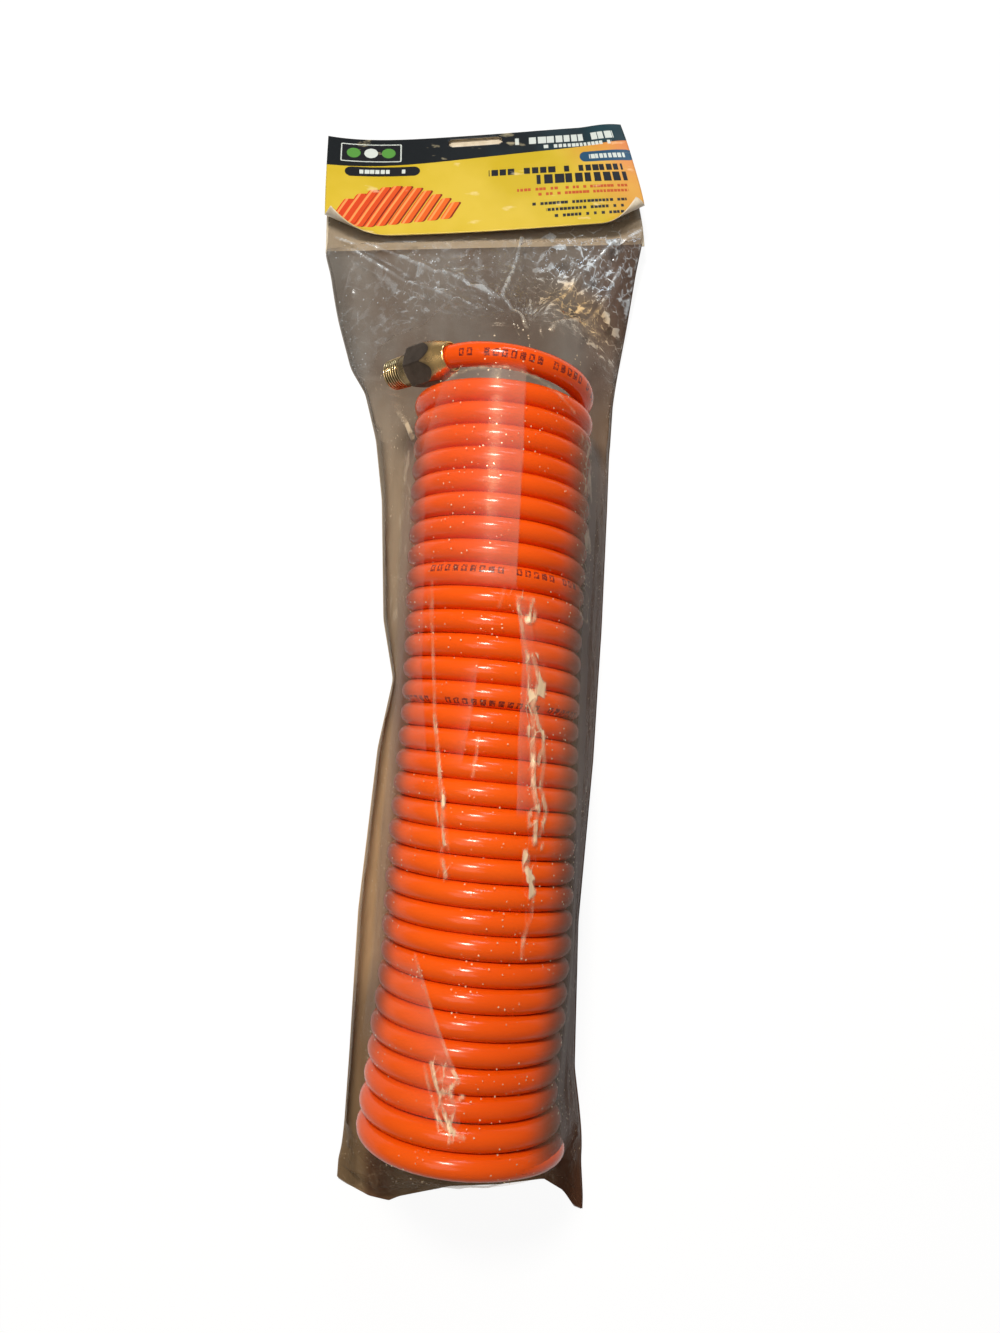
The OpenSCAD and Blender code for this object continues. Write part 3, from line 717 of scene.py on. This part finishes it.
# the front panel's rolled lower corners: corner, direction, reach, radius
CURLS = (
    ((HALF_W, 0.0), (0.46, -0.89), 10.8, 3.3),
    ((-HALF_W, 0.0), (-0.466, -0.885), 15.8, 7.0),
)
# the card's own directions: across, up and out
c, s = math.cos(CARD_TURN), math.sin(CARD_TURN)
ct, st = math.cos(CARD_TILT), math.sin(CARD_TILT)
CARD_AXES = np.array([[c, s, 0], [-s * ct, c * ct, -st], [-s * st, c * st, ct]])
CARD_AT = np.array([CARD_X, CARD_Y, CARD_RISE + FLAT_T / 2])


def bend_head(points, raised):
    """Bends a sheet of the pack's head; raised is its share of the front panel's lift."""
    local = (points - CARD_AT) @ CARD_AXES.T
    u, s = local[..., 0].copy(), local[..., 1].copy()
    share = rise(s, -WARP_ROOM, WARP_ROOM)
    up = np.clip(s / CARD_H, 0, 1)
    flat_u = np.clip(u, -HALF_W, HALF_W)
    lift = np.polyval(RAISED, flat_u) * (1 - up) ** 1.4 + BOW * np.sin(np.pi * up)
    corner = CORNER_RISE * rise(u, *CORNER_U) * rise(s, *CORNER_S)
    ripple = RIPPLE * (np.sin(u / 17 + s / 21) + 1) * up
    out, drawn, more = DRAWN_IN
    local[..., 0] += share * (out - (drawn * up**1.6 + more) * rise(u, *DRAWN_U))
    local[..., 1] -= np.polyval(SAG, flat_u) * up + FOLD_DROP * share
    local[..., 2] += share * (raised * lift + corner + ripple)
    return local @ CARD_AXES + CARD_AT


def curl(local, front):
    for corner, way, reach, radius in CURLS:
        way = np.array(way)
        far = (local[..., :2] - np.array(corner)) @ way + reach
        far = np.where(front[:, None], np.maximum(far, 0), 0)
        height = local[..., 2] - CARD_IN
        turn = far / radius
        local[..., :2] += ((radius - height) * np.sin(turn) - far)[..., None] * way
        local[..., 2] += np.where(far > 0, (radius - height) * (1 - np.cos(turn)), 0)
    return local


def slot_keep(path, u):
    """The faces of the card that stay beside the hang slot."""
    s = (path[:-1, 0] + path[1:, 0])[:, None] / 2
    n = np.abs(path[:-1, 1])[:, None]
    across = np.abs((u[:-1] + u[1:])[None] / 2 - SLOT_U)
    middle = np.where(path[:-1, 1:] > 0, SLOT_S, SLOT_S - SLOT_DROP)
    far = np.hypot(np.maximum(across - (SLOT_W - SLOT_H) / 2, 0), s - middle)
    return (far > SLOT_H / 2) | (n < CARD_IN - 0.05)


def header_card():
    """The folded card, as one board with walls round its rim and its slot."""
    u = np.linspace(-HALF_W, HALF_W, CARD_COLS)
    arc = np.radians(np.arange(82.5, -83, -15))
    panel, under = np.linspace(0, CARD_H, PANEL_ROWS), np.linspace(CARD_H, -OVERHANG, UNDER_ROWS)
    facing = np.concatenate([panel * 0 + np.pi / 2, arc, under * 0 - np.pi / 2])
    normal = stacked(np.cos(facing), np.sin(facing))
    middle = np.concatenate([panel, arc * 0 + CARD_H, under])
    path = stacked(middle, 0) + CARD_IN * normal
    in_front = np.arange(len(path)) < PANEL_ROWS
    raised = np.where(in_front, 1.0, 0.0)[:, None]
    layers = []
    for offset in (CARD_T, 0.0):
        s, n = (path + offset * normal).T
        local = stacked(u, s[:, None], n[:, None])
        layers.append(bend_head(curl(local, in_front) @ CARD_AXES + CARD_AT, raised))
    rows, cols = layers[0].shape[:2]
    skin = rows * cols
    keep = np.pad(slot_keep(path, u), 1)
    quads = grid_faces(rows, cols).reshape(rows - 1, cols - 1, 4)
    inner = keep[1:-1, 1:-1]
    faces = [quads[inner][:, ::-1], quads[inner] + skin]
    # walls where a face has no neighbour above, right, below or left
    for k, beside in enumerate((keep[:-2, 1:-1], keep[1:-1, 2:], keep[2:, 1:-1], keep[1:-1, :-2])):
        rim = quads[inner & ~beside]
        a, b = rim[:, k], rim[:, (k + 1) % 4]
        faces.append(stacked(a, b, b + skin, a + skin))
    points = np.reshape(layers, (-1, 3)) * MM
    obj = mesh_object("header_card_print", points, np.concatenate(faces))
    flat = stacked(u, path[:, :1]).reshape(-1, 2)
    add_uv(obj, np.concatenate([flat, flat]))
    outside = np.broadcast_to((path[:, 1:] > 0.3 - CARD_IN).astype(float), (rows, cols))
    add_attribute(obj, "printed", np.concatenate([outside.ravel(), np.zeros(skin)]))
    return obj


card = header_card()
card.data.materials.append(card_material())
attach(card, "card")
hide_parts("header_card")

# ---- film bag
SEAL_Y, MOUTH_Y, KNEE_Y = -200.75, 309.75, 248.75
ROOM, FOLD = 0.6, 1.5
MOUTH_X = CARD_X - (MOUTH_Y - CARD_Y) * math.tan(CARD_TURN)
LEFT, RIGHT, SIDE_FOLD, DOME, BULGE = range(1, 6)
# place along the pack, left and right edge, side fold, shares of the coil's dome and the bulge
STATIONS = (
    (SEAL_Y, -56, 55, 0.4, 0.01, 0),
    (-195.5, -56, 55, 0.8, 0.15, 0),
    (-190.5, -56, 54.5, 1.2, 0.26, 0),
    (-185.5, -55.5, 54, FOLD, 0.36, 0),
    (-180.5, -55, 53.5, FOLD, 0.47, 0),
    (-175, -54.7, 53.6, FOLD, 0.62, 0),
    (-170, -54.5, 53.3, FOLD, 0.8, 0),
    (-166, -54.5, 52.9, FOLD, 0.97, 0),
    (-156.75, -54.5, 51.6, FOLD, 1, 0),
    (-140.75, -54.5, 48.9, FOLD, 1, 0),
    (-75.75, -55.2, 47.8, FOLD, 1, 0),
    (0, -51.5, 51.6, FOLD, 1, 0),
    (33, -46.5, 52.3, FOLD, 1, 0),
    (62, -53.2, 53.0, FOLD, 1, 0),
    (121.75, -58.2, 53.3, FOLD, 1, 0),
    (151.75, -63.2, 53.2, FOLD, 1, 0.3),
    (155.75, -64.3, 53.5, FOLD, 1, 1),
    (176.75, -70.6, 54, FOLD, 0.98, 1),
    (189.75, -78.5, 55.5, FOLD, 0.81, 0.7),
    (213.75, -85.6, 59, FOLD, 0.49, 0.2),
    (237.75, -91, 62, 1.2, 0.22, 0),
    (KNEE_Y, -94.5, 64, 0.8, 0.1, 0),
    (CARD_Y, -94.5, 65, 0.4, 0.01, 0),
    (MOUTH_Y, MOUTH_X - 78.5, MOUTH_X + 78.5, 0.4, 0.01, 0),
)
KNEE_Z = CARD_RISE + CARD_SLOPE * (CARD_Y - KNEE_Y)
# the crumpled bottom edge: places across and along
BOTTOM = (
    (-57, -193), (-50, -197), (-41, -201), (-32, -202.5), (-27.6, -200.5), (-5, -195),
    (17, -193), (37, -189.5), (46, -194), (51, -200), (56, -201.5),
)

STATION_STEPS, EASE_OVER = 1022, 8
# where the back film rises, the pack skews, the bottom crumples and the dome drifts
LIFT_Y, SKEW_Y, BOTTOM_DRAWN, DOME_LEAVES, HEAD_Y = 185.75, 175.75, (-176, -24), 189.75, 237.75
FILM_T, RIM, LEAST_R = 0.3, 0.6, 0.4


def station(y, column):
    ys = np.linspace(SEAL_Y, MOUTH_Y, STATION_STEPS)
    table = np.array(STATIONS)
    values = np.interp(ys, table[:, 0], table[:, column])
    if column in (LEFT, RIGHT, BULGE):
        kernel = np.hanning(2 * EASE_OVER + 1)
        values = np.pad(values, EASE_OVER, mode="edge")
        values = np.convolve(values, kernel / kernel.sum(), "valid")
    return np.interp(y, ys, values)


def base_z(y):
    return np.interp(y, [LIFT_Y, KNEE_Y, CARD_Y + CARD_H], [0, KNEE_Z, FOLD_RISE])


def skew(y):
    """How far a line across the pack runs along it for each mm."""
    return np.interp(y, [SKEW_Y, KNEE_Y], [0, math.tan(CARD_TURN)])


def crumple_bottom(points):
    xs, ys = np.array(BOTTOM).T
    x, y = points[..., 0], points[..., 1]
    share = rise(y, *BOTTOM_DRAWN)
    points[..., 1] = y + share * (np.interp(x, xs, ys) - SEAL_Y)
    return points


def turn_at(ys):
    return np.interp(-ys, -np.array(TURN_Y), TURN_AT)


def film_sections(ys, cols):
    """Evenly divided sections of the film stretched over the coil and the far fitting."""
    left, right, fold, dome, bulge = (
        station(ys, column) for column in (LEFT, RIGHT, SIDE_FOLD, DOME, BULGE)
    )
    left, right = left + RIM, right - RIM
    low = base_z(ys) + FILM_T
    coil = np.interp(turn_at(ys), COIL_TURN, COIL_R) + HOSE_R + ROOM
    dome = np.maximum(coil * dome, LEAST_R)
    head_x = (station(HEAD_Y, LEFT) + station(HEAD_Y, RIGHT)) / 2
    dome_x = np.interp(ys, [DOME_LEAVES, HEAD_Y, MOUTH_Y], [0, head_x, MOUTH_X])
    dome_x = dome_x + np.interp(turn_at(ys), COIL_TURN, COIL_X)
    top_z = low + dome
    way = math.radians(FAR_ANGLE)
    heading = -np.array([math.cos(way), math.sin(way)])
    circles = [
        (left + fold, low + fold, fold),
        (right - fold, low + fold, fold),
        (dome_x, top_z, dome),
    ]
    for reach, size in ((BODY_L * 0.68, CORNER_R), (STEM_END, THREAD_R)):
        spot = FAR_AT[[0, 2]] + reach * heading
        x, z = dome_x + bulge * (spot[0] - dome_x), top_z + bulge * (spot[1] - top_z)
        circles.append((x, z, bulge * (size + ROOM) + LEAST_R))
    angle = np.radians(np.arange(-80, 260.1, 1.0))
    ca, sa = np.cos(angle), np.sin(angle)
    reach = np.stack([x[:, None] * ca + z[:, None] * sa + r[:, None] for x, z, r in circles])
    best = reach.argmax(0)
    row = np.arange(len(ys))[:, None]
    xs, zs, rs = (np.stack([c[k] for c in circles])[best, row] for k in range(3))
    x, z = xs + rs * ca, zs + rs * sa
    out, width = np.zeros((len(ys), cols, 3)), np.zeros(len(ys))
    for i in range(len(ys)):
        length = np.append(0, np.cumsum(np.hypot(np.diff(x[i]), np.diff(z[i]))))
        want = np.linspace(0, length[-1], cols)
        out[i, :, 0] = np.interp(want, length, x[i])
        out[i, :, 2] = np.interp(want, length, z[i])
        width[i] = length[-1]
    out[..., 1] = ys[:, None] + skew(ys)[:, None] * (out[..., 0] - ((left + right) / 2)[:, None])
    return out, width


def facets(s, y, seed, spacing):
    """Flat facets that meet in sharp creases."""
    rng = np.random.default_rng(seed)
    size = 128
    jitter = rng.random((size, size, 2))
    facing = rng.random((size, size)) * np.pi
    steep = rng.uniform(0.45, 1.2, (size, size, 2))
    base = rng.random((size, size)) * 0.3
    gx, gy = s / spacing, y / spacing
    ci, cj = np.floor(gx).astype(int), np.floor(gy).astype(int)
    best = np.full(s.shape, 9.0)
    for di in (-1, 0, 1):
        for dj in (-1, 0, 1):
            i, j = (ci + di) % size, (cj + dj) % size
            dx = gx - (ci + di + jitter[i, j, 0])
            dy = gy - (cj + dj + jitter[i, j, 1])
            c, t = np.cos(facing[i, j]), np.sin(facing[i, j])
            first = np.abs(dx * c + dy * t) * steep[i, j, 0]
            second = np.abs(dy * c - dx * t) * steep[i, j, 1]
            best = np.minimum(best, first + second + base[i, j])
    return best * spacing


# lines in plan are x, y, x, y and so on; three folds of the head also get painted highlights
LEFT_FOLD = (-80, 242, -57, 228, -40, 215, -24, 200, -12, 185)
RIGHT_FOLD = (63, 262, 48, 251, 32, 231, 21, 209, 15, 183)
INNER_FOLD = (52, 240, 40, 213, 29, 192, 18, 175)
# soft folds of the film: line, height, half width
PINCHES = (
    ((-26, 60, -23, 41, -20, 10, -17, -8, -14, -28, -12, -42), 0.5, 0.9),
    ((11, 60, 16, 53, 19, 34, 21, 27, 20, 16, 22, 5), 0.9, 1.8),
    ((22, 5, 21, -12, 23, -24, 23, -38), 1.0, 2.0),
    ((20, -43, 21, -56, 22, -67, 20, -83), 0.6, 1.3),
    ((-50, 156, -44, 146, -39, 134), 0.9, 0.9),
    ((-12, -123, -9, -133, -4, -146), 0.7, 2.2),
    ((-90, 252, -52, 235, -22, 214, -4, 193), 3.2, 4.5),
    (LEFT_FOLD, 2.4, 3.2),
    ((3, 254, 0, 220, -3, 195, 3, 183, 8, 174), 2.4, 2.6),
    (RIGHT_FOLD, 3.0, 4.5),
    (INNER_FOLD, 2.6, 3.2),
    ((-50, -176, -40, -186, -33, -200), 1.2, 2.2),
    ((44, -172, 47, -184, 52, -198), 1.4, 2.2),
)
# thin creases with painted highlights: line, half width, strength
FOLDS = (
    ((-25, 66, -23, 41, -20, 10), 0.35, 0.3),
    ((-20, 10, -17.3, -8, -14.4, -26, -14, -33, -12.5, -41), 0.5, 0.85),
    ((-13.1, -47, -11.5, -53), 0.6, 0.8),
    ((5.5, 63, 3.7, 55), 0.35, 0.3),
    ((-1.7, 1.4, -3.1, -14), 0.35, 0.3),
    ((11.2, 59.6, 17.3, 59.6, 16, 53, 15, 50), 0.5, 0.8),
    ((11, 58, 16.3, 34.6, 18.7, 16.3, 20, 6), 0.45, 0.5),
    ((18.6, 35, 21.2, 27, 19.5, 16, 22.2, 7), 0.6, 0.9),
    ((20, 6, 20.2, -6, 21.2, -18, 23.1, -26, 22.3, -39), 0.55, 0.9),
    ((24, 6, 25.2, -6, 24.2, -17, 27.2, -26, 24.4, -36), 0.5, 0.85),
    ((20.3, -43.5, 19.8, -49.4, 22.9, -52.2, 21.8, -59.5), 0.6, 0.9),
    ((23.2, -60, 22.8, -67, 20.2, -75, 19.9, -83), 0.45, 0.5),
    ((-21.6, -84.6, -16, -98, -10, -112, -4, -124), 0.35, 0.35),
    ((-12.2, -123, -10.3, -130, -6.8, -139, -3.5, -146, 1.3, -148), 0.55, 0.8),
    ((-4, -125, -1.6, -128.4, -5.7, -132, -3.3, -136, 0.2, -134), 0.5, 0.8),
    ((-15, -124.5, -9.6, -141, -4, -147), 0.4, 0.5),
    ((-21.7, 154.3, -12, 156.2, 1.4, 156.4, 14.7, 153.2, 24.2, 148.8, 31, 144), 0.4, 0.35),
    ((-49.8, 156.4, -44, 146, -38.8, 134.5), 0.6, 0.9),
    ((-90, 252, -80, 248, -52, 235, -35, 223, -22, 214, -12, 201, -4, 193), 0.5, 0.55),
    (LEFT_FOLD, 0.45, 0.4),
    ((3, 254, 1.8, 238, -0.3, 220, -2.6, 195, 3, 183, 8.4, 174), 0.5, 0.6),
    (RIGHT_FOLD, 0.5, 0.6),
    (INNER_FOLD, 0.6, 0.7),
    ((-72, 244.5, -63, 250, -50, 250), 0.5, 0.6),
)
# crinkled stretches, where painted glints crackle: middle line, half width, strength
CRINKLES = (
    ((11, 60, 16, 53), 2.6, 0.7),
    ((19, 34, 21, 27, 20, 16, 21.5, 5), 2.8, 1.0),
    ((22, 5, 22.5, -20, 24, -38), 2.8, 0.6),
    ((20.5, -43, 22, -57), 1.8, 0.9),
    ((-16, -20, -13, -41, -12, -53), 1.5, 0.6),
    ((-10, -124, -4, -146), 3.4, 0.45),
    ((-44, 60, -40, 128), 2.5, 0.25),
    ((40, 60, 38, 135), 2.5, 0.25),
)

# overlaps that look hazy: crisp edge, side of the haze, fade, strength
HAZES = (
    ((9.4, 160, 10.2, 124.7, 10.2, 61.5), -1, 16.0, 0.9),
    ((-24, 160, -33, 128, -36, 112), 1, 10.0, 0.6),
    ((-31, 112, -28.5, 70, -27, 30, -22, -8), -1, 7.0, 0.5),
    ((10, 61.5, 14, 35, 14, 5, 15, -30), 1, 6.0, 1.0),
    ((-21.4, -84.2, -13.3, -102.9, -4.9, -121, -1, -146), -1, 9.0, 0.8),
    ((-3, 34, -5, 10, -8, -12), -1, 3.0, 0.6),
    ((-39, 6, -38, -60, -40, -130), 1, 4.0, 0.35),
)
HAZE_END, HAZE_EDGE = 6, 0.4


def line_reach(x, y, points):
    """Distance from places in plan to a line of points."""
    best = np.full(x.shape, 1e9)
    points = np.reshape(points, (-1, 2))
    for (ax, ay), (bx, by) in zip(points[:-1], points[1:]):
        dx, dy = bx - ax, by - ay
        t = np.clip(((x - ax) * dx + (y - ay) * dy) / (dx**2 + dy**2), 0, 1)
        best = np.minimum(best, np.hypot(x - ax - t * dx, y - ay - t * dy))
    return best


def pinch_height(x, y):
    total = 0 * x
    for k, (points, high, wide) in enumerate(PINCHES):
        wander = wide * (0.6 + 0.9 * noise(x / 7, y / 9, 200 + k))
        ridge = high * np.maximum(1 - line_reach(x, y, points) / wander, 0)
        total = np.maximum(total, ridge * (0.5 + noise(y / 8, x * 0, 220 + k)))
    return total


def marks(x, y, table, soft):
    """Strength of a table's lines at places in plan; soft is the width of their edges."""
    return np.max([s * smooth((w + soft - line_reach(x, y, p)) / soft) for p, w, s in table], 0)


def blob(x, y, at, size):
    return np.exp(-((x - at[0]) ** 2 + (y - at[1]) ** 2) / (2 * size**2))


def haze_cover(x, y):
    total = 0 * x
    for points, way, fade, strength in HAZES:
        xs, ys = np.reshape(points, (-1, 2))[::-1].T
        off = (x - np.interp(y, ys, xs)) * way
        ends = rise(y, ys[0], HAZE_END) * rise(y, ys[-1], -HAZE_END)
        fading = np.exp(-np.maximum(off, 0) / fade)
        total = np.maximum(total, strength * ends * smooth(off / HAZE_EDGE) * fading)
    return total


FILM_GRID, QUICK_GRID, BACK_GRID = (640, 360), (240, 150), (260, 70)
# stretches of the front film: start and length
NECK, TAIL, IN_CARD, RELIEF_IN = (166, 22), (-158, -20), (246, 8), (2, 12)
# how loose it lies beside and on the coil, and where it leaves the coil
LOOSE, TAIL_LOOSE, LEAST_LOOSE, OFF_COIL = 0.3, 0.4, 0.02, (0.55, 0.2)
# where the head's creases run together
GATHER = (6, 176)
RAY_HIGH, LARGE_HIGH, COIL_MORE, SMALL_HIGH = 0.3, 0.16, 0.1, 0.13
FRONT_LIFT, FRONT_Z, BACK_Z = 0.4, 0.31, 0.12
# patches of painted glints in the head: middle in plan and reach
GOLD, SKY, GREY = ((32, 208), 15), ((42, 243), 16), ((-40, 216), 14)
QUIET, SKY_BUSY, GREY_BUSY, COIL_BUSY = 0.12, 0.8, 0.26, 0.1
# painted shade beside the coil and over the last turn, and the smoky margin
SHADE_UNIT, SHADE_STARTS, RIGHT_SHADE, LEFT_SHADE = 40, (0.64, 0.76), 0.62, 0.5
SHADE_TOP, SHADE_LOW, LEFT_LOW, LEFT_END = (146, -14), (-170, 14), (-135, 30), (1.06, 0.1)
MARGIN, MARGIN_OFF, HEAD_LOSS, TAIL_SHADE = 0.84, (4, 12), 0.6, 0.2


def film_front():
    """The draped front film, and its mean width in metres."""
    rows, cols = QUICK_GRID if QUICK else FILM_GRID
    ys = np.linspace(SEAL_Y, MOUTH_Y, rows)
    points, width = film_sections(ys, cols)
    s = (np.linspace(0, 1, cols)[None] - 0.5) * width[:, None]
    x, y = points[..., 0], points[..., 1]
    neck, tail, in_card = rise(y, *NECK), rise(y, *TAIL), rise(ys, *IN_CARD)[:, None]
    slope = np.abs(s) / (width[:, None] / 2)
    touching = (1 - rise(slope, *OFF_COIL)) * (1 - neck) * (1 - tail)
    loose = np.clip(LOOSE + neck + TAIL_LOOSE * tail - touching, LEAST_LOOSE, 1) * (1 - in_card)
    turn = np.arctan2(x - GATHER[0], y - GATHER[1])
    far = np.hypot(x - GATHER[0], y - GATHER[1])
    wobble = 4 * noise(s / 22, y / 22, 8)
    rays = facets(turn * 34 + wobble, far * 0.42, 11, 7)
    large = facets(s + wobble, y * 0.8, 14, 12)
    height = RAY_HIGH * rays * neck + (LARGE_HIGH + COIL_MORE * (1 - neck)) * large
    height = height + SMALL_HIGH * facets(s, y + wobble, 12, 4.5)
    patchy = rise(noise(s / 20, y / 24, 9), 0.3, 0.3)
    height = height * (0.4 + 0.6 * patchy) * loose + pinch_height(x, y) * (1 - in_card)
    step = width[:, None] / cols
    edge = np.minimum(np.arange(cols), cols - 1 - np.arange(cols))[None] * step
    height = height * rise(edge, *RELIEF_IN)
    normal = unit(np.cross(np.gradient(points, axis=0), np.gradient(points, axis=1)))
    sign = np.sign((normal * (points - [0, 0, 20]) * [1, 0, 1]).sum(-1, keepdims=True))
    moved = bend_head(points + normal * sign * height[..., None], FRONT_LIFT)
    moved = crumple_bottom(moved)
    moved[..., 2] = np.maximum(moved[..., 2], FRONT_Z)
    obj = grid_object("bag_front", moved)
    # sharp bends get painted glints, most of all in the busy patches
    bent = np.abs(np.diff(height, 2, axis=0, prepend=0, append=0)) / (ys[1] - ys[0]) ** 2
    bent = bent + np.abs(np.diff(height, 2, axis=1, prepend=0, append=0)) / step**2
    bent[:3], bent[-3:] = 0, 0
    gold, sky, grey = (blob(x, y, *patch) for patch in (GOLD, SKY, GREY))
    busy = QUIET + gold + SKY_BUSY * sky + GREY_BUSY * grey
    busy = np.clip(busy, 0, 1) * neck + COIL_BUSY * (1 - neck)
    glint = rise(noise(s / 3.5, y / 3.5, 21), 0.4, 0.3)
    crease = np.clip((bent - 0.3) / 0.9, 0, 1) * busy * glint
    crease = np.maximum(crease, marks(x, y, FOLDS, 0.5) * (0.4 + 0.6 * noise(x / 3, y / 5, 23)))
    crinkle = neck * np.clip(1.3 * (busy - QUIET) + 0.05, 0, 1)
    crinkle = marks(x, y, CRINKLES, 1.5) * (1 - neck) + crinkle
    beside = np.abs(x - np.interp(turn_at(ys), COIL_TURN, COIL_X)[:, None]) / SHADE_UNIT
    starts = np.where(x > 0, *SHADE_STARTS)
    left_shade = LEFT_SHADE * rise(y, *LEFT_LOW) * (1 - rise(beside, *LEFT_END))
    shaded = np.where(x > 0, RIGHT_SHADE, left_shade) * rise(beside, starts, 1 - starts)
    shaded = shaded * rise(y, *SHADE_TOP) * rise(y, *SHADE_LOW)
    margin = MARGIN * (1 - rise(edge, *MARGIN_OFF)) * (1 - HEAD_LOSS * neck)
    # one attribute carries the smoky margin and the painted shade
    for name, values in (
        ("crease", crease),
        ("crinkle", crinkle),
        ("loose", loose),
        ("haze", haze_cover(x, y) * touching),
        ("warm", np.clip(gold * 1.6 + 0.8 * (1 - neck) - sky, 0, 1)),
        ("skirt_and_shade", np.maximum(np.maximum(margin, shaded), TAIL_SHADE * tail)),
    ):
        add_attribute(obj, name, values)
    # the crackle follows the running creases in the head
    over = stacked(x, y * 0.38)
    running = stacked(turn * 48 + wobble, far * 0.62)
    add_uv(obj, over + (running - over) * neck[..., None])
    return obj, float(np.mean(width)) * MM


def film_back():
    rows, cols = BACK_GRID
    ys = np.linspace(SEAL_Y, MOUTH_Y, rows)
    left, right = station(ys, LEFT), station(ys, RIGHT)
    x = left[:, None] + (right - left)[:, None] * np.linspace(0, 1, cols)[None]
    y = ys[:, None] + skew(ys)[:, None] * (x - ((left + right) / 2)[:, None])
    z = base_z(ys)[:, None] + BACK_Z
    return grid_object("bag_back", crumple_bottom(bend_head(stacked(x, y, z), 0.0)))


front, front_width = film_front()
front.data.materials.append(film_material())
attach(front, "film_bag")
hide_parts("bag_front_film")
back = film_back()
back.data.materials.append(backing_material())
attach(back, "film_bag")
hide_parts("bag_back_film")

# ---- stage and light
FLOOR_HALF, FLOOR_Z, FLOOR_WHITE, WHITE_SHARE = 4.0, -0.0006, 1.12, 0.82
# shares of the white that glossy rays see, and the world's plain light
FLOOR_GLOSSY, WORLD_GLOSSY, WORLD_LIGHT = 0.4, 0.15, 0.12
# lamps: name, place, aim, size, power, colour
LAMPS = (
    ("key", (-0.12, 0.36, 0.8), (0, 0.1, 0.05), (0.15, 0.13), 6.0, (1.0, 0.93, 0.84)),
    ("fill", (-0.3, -0.1, 1.2), (0, 0, 0), (0.7, 0.7), 3.6, (1.0, 0.95, 0.88)),
    ("window", (0.15, 1.3, 0.9), (0, 0.2, 0), (0.35, 0.3), 3.0, (0.72, 0.86, 1.0)),
)


def white_seen(n, glossy):
    """1 for rays that see the white ground, and a share for glossy ones."""
    camera, through, shiny = (
        n.out("LightPath", output=f"Is {ray} Ray") for ray in ("Camera", "Transmission", "Glossy")
    )
    return n.most(n.most(camera, through), shiny * glossy)


n = Nodes("floor")
white = n.out("Emission", {"Color": WHITE, "Strength": FLOOR_WHITE})
grain = n.ramp(n.noise(3), 0, 1, 0.56, 0.6)
matt = n.out("BsdfDiffuse", {"Color": n.out("CombineColor", {0: grain, 1: grain, 2: grain})})
w, z = FLOOR_HALF, FLOOR_Z
corners = [(-w, -w, z), (w, -w, z), (w, w, z), (-w, w, z)]
floor = mesh_object("floor", corners, [(0, 1, 2, 3)])
floor.data.materials.append(n.end(n.mix(white_seen(n, FLOOR_GLOSSY) * WHITE_SHARE, matt, white)))
n = Nodes("studio", "worlds")
level = n.ramp(white_seen(n, WORLD_GLOSSY), 0, 1, WORLD_LIGHT, 1.0)
scene.world = n.end(n.out("Background", {"Color": WHITE, "Strength": level}), "World")
for name, at, aim, size, power, colour in LAMPS:
    lamp = new_object(name, bpy.data.lights.new(name, "AREA"))
    lamp.location = at
    lamp.rotation_euler = (Vector(aim) - Vector(at)).to_track_quat("-Z", "Y").to_euler()
    lamp.data.shape = "RECTANGLE"
    lamp.data.size, lamp.data.size_y = size
    lamp.data.energy, lamp.data.color = power, colour

scene.view_settings.view_transform = "Standard"
